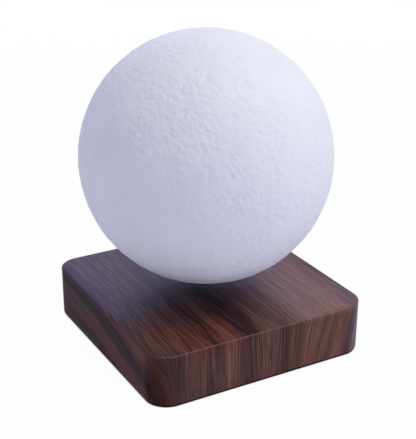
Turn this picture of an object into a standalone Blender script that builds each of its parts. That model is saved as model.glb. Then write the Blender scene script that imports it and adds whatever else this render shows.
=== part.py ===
"""Levitating moon lamp.

A hollow printed moon floats over a square wooden base. The base holds a ring
magnet, four steering electromagnets and a flat coil that sends power up to
the moon. The moon holds a disc magnet, a receiver coil and the light.

Metres, +Z up. The origin is on the table, under the middle of the base. The
front of the lamp is -Y, and the power inlet is in the rear wall, at +Y.
"""
import math

import bmesh
import bpy
from mathutils import Matrix, Vector

# Clearances and cuts
FIT_GAP = 0.0003
CUT_OVERRUN = 0.002
MERGE_DISTANCE = 0.00001

# Wooden base
BASE_SIDE_WALL = 0.01027
BASE_TOP_WALL = 0.003
BASE_CORNER_RADIUS = 0.014
BASE_EDGE_RADIUS = 0.0006
BOARD_LEDGE_WIDTH = 0.008
LEAD_CHANNEL_WIDTH = 0.0038

# Power inlet in the rear wall
INLET_HOLE_RADIUS = 0.005
INLET_MOUTH_FLARE = 0.0006
JACK_WIDTH = 0.009
JACK_HEIGHT = 0.009
JACK_LENGTH = 0.013
JACK_EDGE_RADIUS = 0.0004
JACK_BORE_RADIUS = 0.00295
JACK_BORE_DEPTH = 0.0095
JACK_SETBACK = 0.0007
JACK_FLOOR_GAP = 0.0007
JACK_PIN_RADIUS = 0.00105
JACK_PIN_RECESS = 0.0007

# Cover under the base
COVER_MARGIN = 0.00625
COVER_THICKNESS = 0.0025
COVER_CORNER_RADIUS = 0.009
COVER_EDGE_RADIUS = 0.0004
COVER_RIB_RING_RADIUS = 0.048
COVER_RIB_WIDTH = 0.0016
COVER_RIB_HEIGHT = 0.002
COVER_SCREW_INSET = 0.0075
COVER_SCREW_RADIUS = 0.0015
COVER_SCREW_HEAD_RADIUS = 0.003
COVER_SCREW_LENGTH = 0.012
COVER_SCREW_SLOT_WIDTH = 0.0008
COVER_SCREW_SLOT_DEPTH = 0.0007

# Feet
FOOT_INSET = 0.019
FOOT_RADIUS = 0.006
FOOT_STAND = 0.0012
FOOT_SEAT_DEPTH = 0.0010
FOOT_EDGE_RADIUS = 0.0005

# Control board in the base
BOARD_EDGE_GAP = 0.001
BOARD_THICKNESS = 0.0016
BOARD_SCREW_RADIUS = 0.0012
BOARD_SCREW_HEAD_RADIUS = 0.0024
BOARD_SCREW_HEAD_HEIGHT = 0.0016
BOARD_SCREW_LENGTH = 0.007

# Levitation module: frame, ring magnet and steering coils
FRAME_PLATE_THICKNESS = 0.0015
FRAME_RIM_THICKNESS = 0.0014
RING_MAGNET_WIDTH = 0.017
RING_MAGNET_HEIGHT = 0.008
RING_MAGNET_CHAMFER = 0.0006
COIL_SPACING = 0.0046
COIL_FRAME_SPACING = 0.0038
COIL_CORE_RADIUS = 0.003
COIL_BOBBIN_WALL = 0.0008
COIL_FLANGE_RADIUS = 0.009
COIL_FLANGE_THICKNESS = 0.0009
COIL_WINDING_INSET = 0.0006
COIL_WINDING_CHAMFER = 0.0005
SENSOR_WIDTH = 0.004
SENSOR_DEPTH = 0.0016
SENSOR_HEIGHT = 0.0032
SENSOR_LEG_WIDTH = 0.0005
SENSOR_LEG_PITCH = 0.00127
SENSOR_SPACING = 0.0004
SENSOR_TOP_DROP = 0.001

# Transmitter coil above the frame
TRANSMITTER_WIRE = 0.0012
TRANSMITTER_INSET = 0.002
TRANSMITTER_PITCH = 0.0022
TRANSMITTER_LEAD_GAP = 0.0005

# Parts under the control board
CHIP_SIDE = 0.008
CHIP_HEIGHT = 0.0014
CHIP_OFFSET_X = -0.025
CHIP_OFFSET_Y = 0.018
SINK_WIDTH = 0.020
SINK_LENGTH = 0.018
SINK_FLOOR = 0.0018
SINK_FIN_HEIGHT = 0.0045
SINK_FIN_THICKNESS = 0.0012
SINK_FIN_COUNT = 6
CAN_RADIUS = 0.004
CAN_HEIGHT = 0.0085
CAN_EDGE_RADIUS = 0.0005
CAN_GROOVE_DEPTH = 0.0004
CAN_GROOVE_DROP = 0.0016
CAN_OFFSET_X = 0.021
CAN_OFFSET_Y = 0.030
FILM_WIDTH = 0.012
FILM_DEPTH = 0.006
FILM_HEIGHT = 0.008
FILM_EDGE_RADIUS = 0.0007
FILM_OFFSET_X = 0.026
FILM_OFFSET_Y = -0.012
CHOKE_RADIUS = 0.0055
CHOKE_GROOVE_DEPTH = 0.001
CHOKE_HEIGHT = 0.0065
CHOKE_FLANGE = 0.0012
CHOKE_OFFSET_X = -0.018
CHOKE_OFFSET_Y = -0.024

# Moon
MOON_DIAMETER = 0.150
MOON_WALL = 0.0018
MOON_NECK_WALL = 0.0018
MOON_NECK_HEIGHT = 0.005
LEVITATION_GAP = 0.0072

# Plug that closes the moon
PLUG_WALL = 0.002
PLUG_RIM_WALL = 0.0016
PLUG_RIM_HEIGHT = 0.0042
PLUG_BOSS_RADIUS = 0.0023
PLUG_BOSS_SPACING = 0.0007
TRAY_SCREW_RADIUS = 0.0009
TRAY_SCREW_HEAD_RADIUS = 0.0017
TRAY_SCREW_HEAD_HEIGHT = 0.0012
TRAY_SCREW_LENGTH = 0.0045

# Tray, magnet and receiver coil in the moon
FLOATING_MAGNET_RADIUS = 0.016
FLOATING_MAGNET_HEIGHT = 0.006
FLOATING_MAGNET_CHAMFER = 0.0004
TRAY_WALL = 0.0012
TRAY_FLANGE_THICKNESS = 0.0014
TRAY_EDGE = 0.00015
TRAY_PLAY = 0.0006
TRAY_POST_RADIUS = 0.002
RECEIVER_WIRE = 0.001
RECEIVER_SPACING = 0.0009
RECEIVER_PITCH = 0.00145

# Light in the moon
LED_BOARD_THICKNESS = 0.0012
LED_BOARD_RISE = 0.006
LED_SIDE = 0.005
LED_HEIGHT = 0.0012
LED_LENS_RADIUS = 0.0019
LED_LENS_HEIGHT = 0.0008
LED_CIRCLE_RADIUS = 0.012
LED_SCREW_LENGTH = 0.0035
SMOOTHING_CAN_RADIUS = 0.003
SMOOTHING_CAN_HEIGHT = 0.007

# Counts and angles
COVER_RIBS = 4
BOARD_SCREWS = 4
COILS = 4
TRAY_SCREWS = 3
RECEIVER_TURNS = 5
LEDS = 4
CORNER_SEGMENTS = 7
EDGE_SEGMENTS = 2
MOON_STEPS = 40
MOON_OUTER_ARC_POINTS = 21
MOON_INNER_ARC_POINTS = 15
LARGE_STEPS = 36
MEDIUM_STEPS = 24
SMALL_STEPS = 12
SCREW_STEPS = 8
CAP_ARC_POINTS = 5
EDGE_ARC_POINTS = 3
SPIRAL_POINTS_PER_TURN = 14
WIRE_RESOLUTION = 1
SHARP_ANGLE = math.radians(35)
BEVEL_ANGLE = math.radians(40)
QUARTER_TURN = math.pi / 2
FULL_TURN = 2 * math.pi

# Plan of the base, from the coils outwards
COIL_CIRCLE_RADIUS = (2 * COIL_FLANGE_RADIUS + COIL_SPACING) / (2 * math.sin(math.pi / COILS))
FRAME_INNER_RIM = COIL_CIRCLE_RADIUS + COIL_FLANGE_RADIUS + COIL_FRAME_SPACING
FRAME_INNER_WALL = FRAME_INNER_RIM + FRAME_RIM_THICKNESS
RING_MAGNET_INNER_RADIUS = FRAME_INNER_WALL + FIT_GAP
RING_MAGNET_OUTER_RADIUS = RING_MAGNET_INNER_RADIUS + RING_MAGNET_WIDTH
FRAME_OUTER_WALL = RING_MAGNET_OUTER_RADIUS + FIT_GAP
FRAME_OUTER_RIM = FRAME_OUTER_WALL + FRAME_RIM_THICKNESS
TRANSMITTER_INNER_RADIUS = RING_MAGNET_INNER_RADIUS + TRANSMITTER_INSET
TRANSMITTER_TURNS = int((FRAME_OUTER_WALL - TRANSMITTER_INNER_RADIUS) / TRANSMITTER_PITCH)
MODULE_POCKET_RADIUS = FRAME_OUTER_RIM + LEAD_CHANNEL_WIDTH
BOARD_POCKET_RADIUS = MODULE_POCKET_RADIUS + BOARD_LEDGE_WIDTH
BOARD_RADIUS = BOARD_POCKET_RADIUS - BOARD_EDGE_GAP
BOARD_SCREW_CIRCLE = (MODULE_POCKET_RADIUS + BOARD_POCKET_RADIUS) / 2
BASE_SIDE = 2 * (BOARD_POCKET_RADIUS + BASE_SIDE_WALL)
COVER_SIDE = BASE_SIDE - 2 * COVER_MARGIN
COVER_SCREW_OFFSET = COVER_SIDE / 2 - COVER_SCREW_INSET
FOOT_OFFSET = COVER_SIDE / 2 - FOOT_INSET
JACK_FACE = BOARD_POCKET_RADIUS - JACK_SETBACK
SENSOR_CENTRE_OFFSET = (SENSOR_WIDTH + SENSOR_DEPTH) / 2 + SENSOR_SPACING

# Heights in the base, from the table up
BASE_BOTTOM = FOOT_STAND
COVER_TOP = BASE_BOTTOM + COVER_THICKNESS
COVER_RIB_TOP = COVER_TOP + COVER_RIB_HEIGHT
INLET_HEIGHT = COVER_RIB_TOP + JACK_FLOOR_GAP + JACK_HEIGHT / 2
PARTS_TOP = INLET_HEIGHT + JACK_HEIGHT / 2
BOARD_BOTTOM = PARTS_TOP + FIT_GAP
BOARD_TOP = BOARD_BOTTOM + BOARD_THICKNESS
BOARD_LEDGE = BOARD_TOP + FIT_GAP
RING_MAGNET_BOTTOM = BOARD_TOP + FIT_GAP
RING_MAGNET_TOP = RING_MAGNET_BOTTOM + RING_MAGNET_HEIGHT
FRAME_ROOF = RING_MAGNET_TOP + FIT_GAP
FRAME_TOP = FRAME_ROOF + FRAME_PLATE_THICKNESS
TRANSMITTER_CENTRE = FRAME_TOP + FIT_GAP + TRANSMITTER_WIRE / 2
POCKET_CEILING = TRANSMITTER_CENTRE + TRANSMITTER_WIRE / 2 + FIT_GAP
BASE_TOP = POCKET_CEILING + BASE_TOP_WALL

# Plan of the moon's plug, from the magnet outwards
WELL_RADIUS = FLOATING_MAGNET_RADIUS + FIT_GAP
WELL_OUTER_RADIUS = WELL_RADIUS + TRAY_WALL
TRAY_SCREW_CIRCLE = WELL_OUTER_RADIUS + PLUG_BOSS_SPACING + PLUG_BOSS_RADIUS
RECEIVER_INNER_RADIUS = (TRAY_SCREW_CIRCLE + TRAY_SCREW_HEAD_RADIUS + RECEIVER_SPACING
                         + RECEIVER_WIRE / 2)
RECEIVER_OUTER_RADIUS = RECEIVER_INNER_RADIUS + RECEIVER_PITCH * RECEIVER_TURNS
TRAY_RADIUS = RECEIVER_OUTER_RADIUS + RECEIVER_WIRE / 2 + TRAY_EDGE
PLUG_INNER_RADIUS = TRAY_RADIUS + TRAY_PLAY
PLUG_RADIUS = PLUG_INNER_RADIUS + PLUG_RIM_WALL
MOON_OPENING_RADIUS = PLUG_RADIUS + FIT_GAP

# Spheres of the moon and its heights, from the table up
MOON_RADIUS = MOON_DIAMETER / 2
MOON_CENTRE = BASE_TOP + LEVITATION_GAP + MOON_RADIUS
PLUG_FLOOR_SPHERE = MOON_RADIUS - PLUG_WALL


def drop_of_sphere(radius, distance):
    """Depth below the centre at which a sphere is `distance` from its axis."""
    return math.sqrt(radius * radius - distance * distance)


OPENING_EDGE = MOON_CENTRE - drop_of_sphere(MOON_RADIUS, MOON_OPENING_RADIUS)
PLUG_EDGE = MOON_CENTRE - drop_of_sphere(MOON_RADIUS, PLUG_RADIUS)
TRAY_FLANGE_BOTTOM = MOON_CENTRE - drop_of_sphere(PLUG_FLOOR_SPHERE, TRAY_RADIUS) + FIT_GAP
TRAY_FLANGE_TOP = TRAY_FLANGE_BOTTOM + TRAY_FLANGE_THICKNESS
WELL_BOTTOM = MOON_CENTRE - drop_of_sphere(PLUG_FLOOR_SPHERE, WELL_OUTER_RADIUS) + FIT_GAP
MAGNET_BOTTOM = WELL_BOTTOM + TRAY_WALL + FIT_GAP
RECEIVER_CENTRE = TRAY_FLANGE_TOP + FIT_GAP + RECEIVER_WIRE / 2
LED_BOARD_BOTTOM = TRAY_FLANGE_TOP + LED_BOARD_RISE
LED_BOARD_TOP = LED_BOARD_BOTTOM + LED_BOARD_THICKNESS


def clear_scene():
    """Remove what the file holds, so the model stands alone."""
    for item in list(bpy.data.objects):
        bpy.data.objects.remove(item, do_unlink=True)


def new_collection(name):
    """Make a collection in the scene."""
    collection = bpy.data.collections.new(name)
    bpy.context.scene.collection.children.link(collection)
    return collection


def make_material(name, colour, roughness, metallic=0.0):
    """One Principled BSDF material."""
    material = bpy.data.materials.new(name)
    material.use_nodes = True
    shader = material.node_tree.nodes["Principled BSDF"]
    shader.inputs["Base Color"].default_value = (*colour, 1.0)
    shader.inputs["Roughness"].default_value = roughness
    shader.inputs["Metallic"].default_value = metallic
    return material


def add_mesh(name, bm, material, position, collection):
    """Turn a bmesh into an object at a position of the world."""
    bmesh.ops.recalc_face_normals(bm, faces=bm.faces)
    mesh = bpy.data.meshes.new(name)
    bm.to_mesh(mesh)
    bm.free()
    item = bpy.data.objects.new(name, mesh)
    if material:
        mesh.materials.append(material)
    item.location = position
    collection.objects.link(item)
    return item


def mark_as_tool(item):
    """Show a cutter or a joined shape as wire, and keep it out of renders."""
    item.hide_render = True
    item.display_type = "WIRE"
    return item


def turned(name, profile, steps, material, position, collection):
    """Revolve (radius, height) points, listed down the outer side."""
    bm = bmesh.new()
    points = [bm.verts.new((radius, 0, height)) for radius, height in profile]
    for first, second in zip(points, points[1:]):
        bm.edges.new((first, second))
    if profile[0][0] > 0:
        bm.edges.new((points[-1], points[0]))
    item = add_mesh(name, bm, material, position, collection)
    screw = item.modifiers.new("Revolve", "SCREW")
    screw.angle = FULL_TURN
    screw.steps = steps
    screw.render_steps = steps
    screw.use_merge_vertices = True
    screw.merge_threshold = MERGE_DISTANCE
    return item


def rounded_block(name, size, corner_radius, edge_radius, material, position, collection):
    """Box with round upright corners and, if asked, rounded other edges."""
    bm = bmesh.new()
    bmesh.ops.create_cube(bm, size=1)
    bmesh.ops.scale(bm, vec=Vector(size), verts=bm.verts)
    upright = [edge for edge in bm.edges if edge.verts[0].co.xy == edge.verts[1].co.xy]
    if corner_radius > 0:
        bmesh.ops.bevel(bm, geom=upright, offset=corner_radius, segments=CORNER_SEGMENTS,
                        profile=0.5, affect="EDGES")
    item = add_mesh(name, bm, material, position, collection)
    if edge_radius > 0:
        bevel = item.modifiers.new("Rounded edges", "BEVEL")
        bevel.width = edge_radius
        bevel.segments = EDGE_SEGMENTS
        bevel.limit_method = "ANGLE"
        bevel.angle_limit = BEVEL_ANGLE
    return item


def disc(name, radius, bottom, top, steps, material, collection):
    """Round plate about the lamp's axis, between two heights."""
    bm = bmesh.new()
    bmesh.ops.create_cone(bm, cap_ends=True, segments=steps, radius1=radius,
                          radius2=radius, depth=top - bottom)
    return add_mesh(name, bm, material, (0, 0, (top + bottom) / 2), collection)


def cylinder(name, radius, length, position, collection, steps=SMALL_STEPS, turn=None):
    """Round cutter about its middle, turned by a matrix where one is given."""
    bm = bmesh.new()
    bmesh.ops.create_cone(bm, cap_ends=True, segments=steps, radius1=radius,
                          radius2=radius, depth=length)
    if turn:
        bmesh.ops.transform(bm, matrix=turn, verts=bm.verts)
    return mark_as_tool(add_mesh(name, bm, None, position, collection))


def combine(target, tool, operation):
    """Cut a tool out of a piece, or join it to the piece."""
    boolean = target.modifiers.new(operation.title(), "BOOLEAN")
    boolean.operation = operation
    boolean.solver = "EXACT"
    boolean.object = tool


def arc(centre_radius, centre_height, radius, start, end, points):
    """Points of (radius, height) along an arc, angles from +X towards +Z."""
    steps = [start + (end - start) * index / (points - 1) for index in range(points)]
    return [(centre_radius + radius * math.cos(angle), centre_height + radius * math.sin(angle))
            for angle in steps]


def on_circle(radius, index, count, start=0.0):
    """Place number `index` of `count` places round a circle."""
    angle = start + FULL_TURN * index / count
    return radius * math.cos(angle), radius * math.sin(angle)


def four_corners(offset):
    """The four corners of a square about the axis, counted round it."""
    return [on_circle(offset * math.sqrt(2), index, 4, math.pi / 4) for index in range(4)]


def rounded_bar_profile(radius, bottom, top, edge_radius):
    """Outline of a solid round bar whose two rims are rounded."""
    upper = arc(radius - edge_radius, top - edge_radius, edge_radius,
                QUARTER_TURN, 0, EDGE_ARC_POINTS)
    lower = arc(radius - edge_radius, bottom + edge_radius, edge_radius,
                0, -QUARTER_TURN, EDGE_ARC_POINTS)
    return [(0, top), *upper, *lower, (0, bottom)]


def wire(name, points, diameter, material, collection):
    """Round wire along a list of points, as a closed mesh."""
    curve = bpy.data.curves.new(name, "CURVE")
    curve.dimensions = "3D"
    curve.bevel_depth = diameter / 2
    curve.bevel_resolution = WIRE_RESOLUTION
    curve.use_fill_caps = True
    spline = curve.splines.new("POLY")
    spline.points.add(len(points) - 1)
    for slot, point in zip(spline.points, points):
        slot.co = (*point, 1.0)
    guide = bpy.data.objects.new(name + "_path", curve)
    collection.objects.link(guide)
    bpy.context.view_layer.update()
    graph = bpy.context.evaluated_depsgraph_get()
    mesh = bpy.data.meshes.new_from_object(guide.evaluated_get(graph))
    bpy.data.objects.remove(guide, do_unlink=True)
    bpy.data.curves.remove(curve)
    bm = bmesh.new()
    bm.from_mesh(mesh)
    bpy.data.meshes.remove(mesh)
    bmesh.ops.remove_doubles(bm, verts=bm.verts, dist=MERGE_DISTANCE)
    return add_mesh(name, bm, material, (0, 0, 0), collection)


def spiral(inner_radius, pitch, turns, height):
    """Points of a flat spiral, from the inside out, that starts and ends on +X."""
    count = turns * SPIRAL_POINTS_PER_TURN
    points = []
    for index in range(count + 1):
        angle = FULL_TURN * index / SPIRAL_POINTS_PER_TURN
        radius = inner_radius + pitch * index / SPIRAL_POINTS_PER_TURN
        points.append((radius * math.cos(angle), radius * math.sin(angle), height))
    return points


def bent_lead(radius, start, end, bend):
    """Points of a lead on +X that turns from level to upright at `radius`."""
    direction = math.copysign(1, end - start)
    middle = bend * (1 - math.cos(math.pi / 4))
    return [(radius - middle, 0, start + direction * middle),
            (radius, 0, start + direction * bend),
            (radius, 0, end)]


def finish_meshes(collection):
    """Apply the modifiers and shade round faces smooth."""
    bpy.context.view_layer.update()
    graph = bpy.context.evaluated_depsgraph_get()
    finished = {}
    for item in collection.objects:
        if item.type == "MESH":
            finished[item] = bpy.data.meshes.new_from_object(item.evaluated_get(graph))
    for item, mesh in finished.items():
        item.modifiers.clear()
        item.data = mesh
        mesh.name = item.name
        mesh.shade_smooth()
        mesh.set_sharp_from_angle(angle=SHARP_ANGLE)


class Lamp:
    """The lamp's collections, joint guides and materials."""

    def __init__(self):
        self.parts = new_collection("levitating_lamp")
        self.tools = new_collection("cutters")
        self.base = self.add_guide("base_origin", 0)
        self.lift = self.add_guide("moon_lift_axis", MOON_CENTRE)
        self.spin = self.add_guide("moon_spin_axis", MOON_CENTRE)
        self.attach(self.spin, self.lift)
        self.walnut = make_material("walnut", (0.09, 0.045, 0.035), 0.35)
        self.printed = make_material("printed_pla", (0.80, 0.80, 0.86), 0.7)
        self.moulded = make_material("black_abs", (0.03, 0.03, 0.035), 0.55)
        self.white_moulded = make_material("white_abs", (0.75, 0.75, 0.74), 0.5)
        self.rubber = make_material("black_rubber", (0.02, 0.02, 0.02), 0.85)
        self.laminate = make_material("green_laminate", (0.02, 0.12, 0.05), 0.4)
        self.white_laminate = make_material("white_laminate", (0.7, 0.7, 0.7), 0.35)
        self.ferrite = make_material("ferrite", (0.05, 0.05, 0.055), 0.6)
        self.nickel = make_material("nickel_plate", (0.65, 0.63, 0.60), 0.2, 1.0)
        self.zinc = make_material("zinc_plated_steel", (0.55, 0.56, 0.58), 0.35, 1.0)
        self.iron = make_material("soft_iron", (0.35, 0.35, 0.36), 0.4, 1.0)
        self.copper = make_material("enamelled_copper", (0.55, 0.20, 0.08), 0.3, 1.0)
        self.brass = make_material("brass", (0.60, 0.45, 0.18), 0.3, 1.0)
        self.aluminium = make_material("aluminium", (0.60, 0.61, 0.63), 0.3, 1.0)
        self.resin = make_material("black_resin", (0.025, 0.025, 0.03), 0.4)
        self.film_case = make_material("film_case", (0.45, 0.06, 0.03), 0.45)
        self.lens = make_material("silicone_lens", (0.85, 0.75, 0.35), 0.25)

    def add_guide(self, name, height):
        """Empty on the lamp's axis, which carries a body's pieces."""
        guide = bpy.data.objects.new(name, None)
        guide.location = (0, 0, height)
        guide.hide_render = True
        self.tools.objects.link(guide)
        return guide

    def attach(self, item, guide):
        """Hang a piece on a guide without moving it."""
        bpy.context.view_layer.update()
        item.parent = guide
        item.matrix_parent_inverse = guide.matrix_world.inverted()
        return item


def screw_profile(shank_radius, head_radius, head_height, length):
    """Cheese-head screw, head below, the seat of its head at height 0."""
    tip = shank_radius / 2
    return [(0, length),
            (tip, length),
            (shank_radius, length - tip),
            (shank_radius, 0),
            (head_radius, 0),
            (head_radius, -head_height),
            (0, -head_height)]


def countersunk_profile(shank_radius, head_radius, length, clearance=0):
    """Countersunk screw, head below, its flat face at height 0."""
    cone_height = head_radius - shank_radius
    wide = head_radius + clearance
    narrow = shank_radius + clearance
    return [(0, length + clearance),
            (narrow, length + clearance),
            (narrow, cone_height),
            (wide, 0),
            (wide, -clearance),
            (0, -clearance)]


def build_base_block(lamp):
    """Block of walnut, pocketed from below, with a hole for the power plug."""
    middle = (BASE_BOTTOM + BASE_TOP) / 2
    block = rounded_block("base_block", (BASE_SIDE, BASE_SIDE, BASE_TOP - BASE_BOTTOM),
                          BASE_CORNER_RADIUS, BASE_EDGE_RADIUS, lamp.walnut,
                          (0, 0, middle), lamp.parts)
    rebate_side = COVER_SIDE + 2 * FIT_GAP
    rebate_top = COVER_TOP + FIT_GAP
    rebate_bottom = BASE_BOTTOM - CUT_OVERRUN
    rebate = mark_as_tool(rounded_block(
        "rebate_cut", (rebate_side, rebate_side, rebate_top - rebate_bottom),
        COVER_CORNER_RADIUS + FIT_GAP, 0, None,
        (0, 0, (rebate_top + rebate_bottom) / 2), lamp.tools))
    combine(block, rebate, "DIFFERENCE")
    for name, radius, top in (("board_pocket_cut", BOARD_POCKET_RADIUS, BOARD_LEDGE),
                              ("module_pocket_cut", MODULE_POCKET_RADIUS, POCKET_CEILING)):
        pocket = cylinder(name, radius, top - rebate_bottom,
                          (0, 0, (top + rebate_bottom) / 2), lamp.tools, LARGE_STEPS)
        combine(block, pocket, "DIFFERENCE")
    cut_inlet(lamp, block)
    for index, (x, y) in enumerate(four_corners(COVER_SCREW_OFFSET), start=1):
        depth = COVER_SCREW_LENGTH + FIT_GAP
        pilot = cylinder(f"cover_pilot_cut_{index}", COVER_SCREW_RADIUS + FIT_GAP,
                         depth, (x, y, BASE_BOTTOM + depth / 2), lamp.tools, SCREW_STEPS)
        combine(block, pilot, "DIFFERENCE")
    for index in range(BOARD_SCREWS):
        x, y = on_circle(BOARD_SCREW_CIRCLE, index, BOARD_SCREWS, math.pi / BOARD_SCREWS)
        tip = BOARD_BOTTOM - FIT_GAP + BOARD_SCREW_LENGTH + FIT_GAP
        pilot = cylinder(f"board_pilot_cut_{index + 1}", BOARD_SCREW_RADIUS + FIT_GAP,
                         tip - BOARD_BOTTOM, (x, y, (tip + BOARD_BOTTOM) / 2),
                         lamp.tools, SCREW_STEPS)
        combine(block, pilot, "DIFFERENCE")
    lamp.attach(block, lamp.base)


def cut_inlet(lamp, block):
    """Round hole through the rear wall, flared at its mouth."""
    rear = BASE_SIDE / 2
    inner = BOARD_POCKET_RADIUS - JACK_LENGTH
    mouth = INLET_HOLE_RADIUS + INLET_MOUTH_FLARE + CUT_OVERRUN
    profile = [(0, rear + CUT_OVERRUN),
               (mouth, rear + CUT_OVERRUN),
               (INLET_HOLE_RADIUS, rear - INLET_MOUTH_FLARE),
               (INLET_HOLE_RADIUS, inner),
               (0, inner)]
    hole = mark_as_tool(turned("inlet_cut", profile, SMALL_STEPS, None,
                               (0, 0, INLET_HEIGHT), lamp.tools))
    hole.rotation_euler = (-QUARTER_TURN, 0, 0)
    combine(block, hole, "DIFFERENCE")


def build_cover(lamp):
    """Moulded cover with seats for the feet and screws, and ribs inside."""
    middle = (BASE_BOTTOM + COVER_TOP) / 2
    cover = rounded_block("bottom_cover", (COVER_SIDE, COVER_SIDE, COVER_THICKNESS),
                          COVER_CORNER_RADIUS, COVER_EDGE_RADIUS, lamp.moulded,
                          (0, 0, middle), lamp.parts)
    rib_bottom = COVER_TOP - COVER_THICKNESS / 2
    outer = COVER_RIB_RING_RADIUS + COVER_RIB_WIDTH / 2
    inner = COVER_RIB_RING_RADIUS - COVER_RIB_WIDTH / 2
    ring_profile = [(outer, COVER_RIB_TOP), (outer, rib_bottom),
                    (inner, rib_bottom), (inner, COVER_RIB_TOP)]
    ring = mark_as_tool(turned("rib_ring", ring_profile, LARGE_STEPS, None, (0, 0, 0),
                               lamp.tools))
    combine(cover, ring, "UNION")
    for index in range(COVER_RIBS // 2):
        rib = mark_as_tool(rounded_block(
            f"cross_rib_{index + 1}",
            (2 * COVER_RIB_RING_RADIUS, COVER_RIB_WIDTH, COVER_RIB_TOP - rib_bottom),
            0, 0, None, (0, 0, (COVER_RIB_TOP + rib_bottom) / 2), lamp.tools))
        rib.rotation_euler = (0, 0, math.pi / COVER_RIBS + FULL_TURN * index / COVER_RIBS)
        combine(cover, rib, "UNION")
    seat_top = BASE_BOTTOM + FOOT_SEAT_DEPTH + FIT_GAP
    seat_bottom = BASE_BOTTOM - CUT_OVERRUN
    for index, (x, y) in enumerate(four_corners(FOOT_OFFSET), start=1):
        seat = cylinder(f"foot_seat_cut_{index}", FOOT_RADIUS + FIT_GAP,
                        seat_top - seat_bottom, (x, y, (seat_top + seat_bottom) / 2),
                        lamp.tools)
        combine(cover, seat, "DIFFERENCE")
    for index, (x, y) in enumerate(four_corners(COVER_SCREW_OFFSET), start=1):
        profile = countersunk_profile(COVER_SCREW_RADIUS, COVER_SCREW_HEAD_RADIUS,
                                      COVER_SCREW_LENGTH, FIT_GAP)
        hole = mark_as_tool(turned(f"cover_screw_cut_{index}", profile, SCREW_STEPS, None,
                                   (x, y, BASE_BOTTOM), lamp.tools))
        combine(cover, hole, "DIFFERENCE")
    lamp.attach(cover, lamp.base)


def build_cover_screws(lamp):
    """Countersunk screws with a cross recess, flush with the cover."""
    for index, (x, y) in enumerate(four_corners(COVER_SCREW_OFFSET), start=1):
        profile = countersunk_profile(COVER_SCREW_RADIUS, COVER_SCREW_HEAD_RADIUS,
                                      COVER_SCREW_LENGTH)[:4] + [(0, 0)]
        screw = turned(f"cover_screw_{index}", profile, SCREW_STEPS, lamp.zinc,
                       (x, y, BASE_BOTTOM), lamp.parts)
        for turn in (0, QUARTER_TURN):
            slot = mark_as_tool(rounded_block(
                f"screw_slot_cut_{index}_{round(math.degrees(turn))}",
                (COVER_SCREW_HEAD_RADIUS, COVER_SCREW_SLOT_WIDTH, 2 * COVER_SCREW_SLOT_DEPTH),
                0, 0, None, (x, y, BASE_BOTTOM), lamp.tools))
            slot.rotation_euler = (0, 0, turn)
            combine(screw, slot, "DIFFERENCE")
        lamp.attach(screw, lamp.base)


def build_feet(lamp):
    """Rubber discs that stand on the table."""
    profile = rounded_bar_profile(FOOT_RADIUS, 0, FOOT_STAND + FOOT_SEAT_DEPTH,
                                  FOOT_EDGE_RADIUS)
    for index, (x, y) in enumerate(four_corners(FOOT_OFFSET), start=1):
        foot = turned(f"rubber_foot_{index}", profile, SMALL_STEPS, lamp.rubber,
                      (x, y, 0), lamp.parts)
        lamp.attach(foot, lamp.base)


def build_control_board(lamp):
    """Round circuit board under the ledge, and the screws that hold it."""
    board = disc("control_board", BOARD_RADIUS, BOARD_BOTTOM, BOARD_TOP, LARGE_STEPS,
                 lamp.laminate, lamp.parts)
    profile = screw_profile(BOARD_SCREW_RADIUS, BOARD_SCREW_HEAD_RADIUS,
                            BOARD_SCREW_HEAD_HEIGHT, BOARD_SCREW_LENGTH)
    for index in range(BOARD_SCREWS):
        x, y = on_circle(BOARD_SCREW_CIRCLE, index, BOARD_SCREWS, math.pi / BOARD_SCREWS)
        hole = cylinder(f"board_hole_cut_{index + 1}", BOARD_SCREW_RADIUS + FIT_GAP,
                        BOARD_THICKNESS + 2 * CUT_OVERRUN,
                        (x, y, (BOARD_TOP + BOARD_BOTTOM) / 2), lamp.tools, SCREW_STEPS)
        combine(board, hole, "DIFFERENCE")
        screw = turned(f"board_screw_{index + 1}", profile, SCREW_STEPS, lamp.zinc,
                       (x, y, BOARD_BOTTOM - FIT_GAP), lamp.parts)
        lamp.attach(screw, lamp.base)
    lamp.attach(board, lamp.base)


def build_module_frame(lamp):
    """Channel of white plastic, open below, over the ring magnet."""
    bottom = BOARD_TOP + FIT_GAP
    profile = [(FRAME_OUTER_RIM, FRAME_TOP), (FRAME_OUTER_RIM, bottom),
               (FRAME_OUTER_WALL, bottom), (FRAME_OUTER_WALL, FRAME_ROOF),
               (FRAME_INNER_WALL, FRAME_ROOF), (FRAME_INNER_WALL, bottom),
               (FRAME_INNER_RIM, bottom), (FRAME_INNER_RIM, FRAME_TOP)]
    frame = turned("module_frame", profile, LARGE_STEPS, lamp.white_moulded,
                   (0, 0, 0), lamp.parts)
    lamp.attach(frame, lamp.base)


def build_ring_magnet(lamp):
    """Ferrite ring with chamfered rims."""
    chamfer = RING_MAGNET_CHAMFER
    outer = RING_MAGNET_OUTER_RADIUS
    inner = RING_MAGNET_INNER_RADIUS
    profile = [(outer - chamfer, RING_MAGNET_TOP), (outer, RING_MAGNET_TOP - chamfer),
               (outer, RING_MAGNET_BOTTOM + chamfer), (outer - chamfer, RING_MAGNET_BOTTOM),
               (inner, RING_MAGNET_BOTTOM), (inner, RING_MAGNET_TOP)]
    magnet = turned("ring_magnet", profile, LARGE_STEPS, lamp.ferrite, (0, 0, 0), lamp.parts)
    lamp.attach(magnet, lamp.base)


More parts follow.
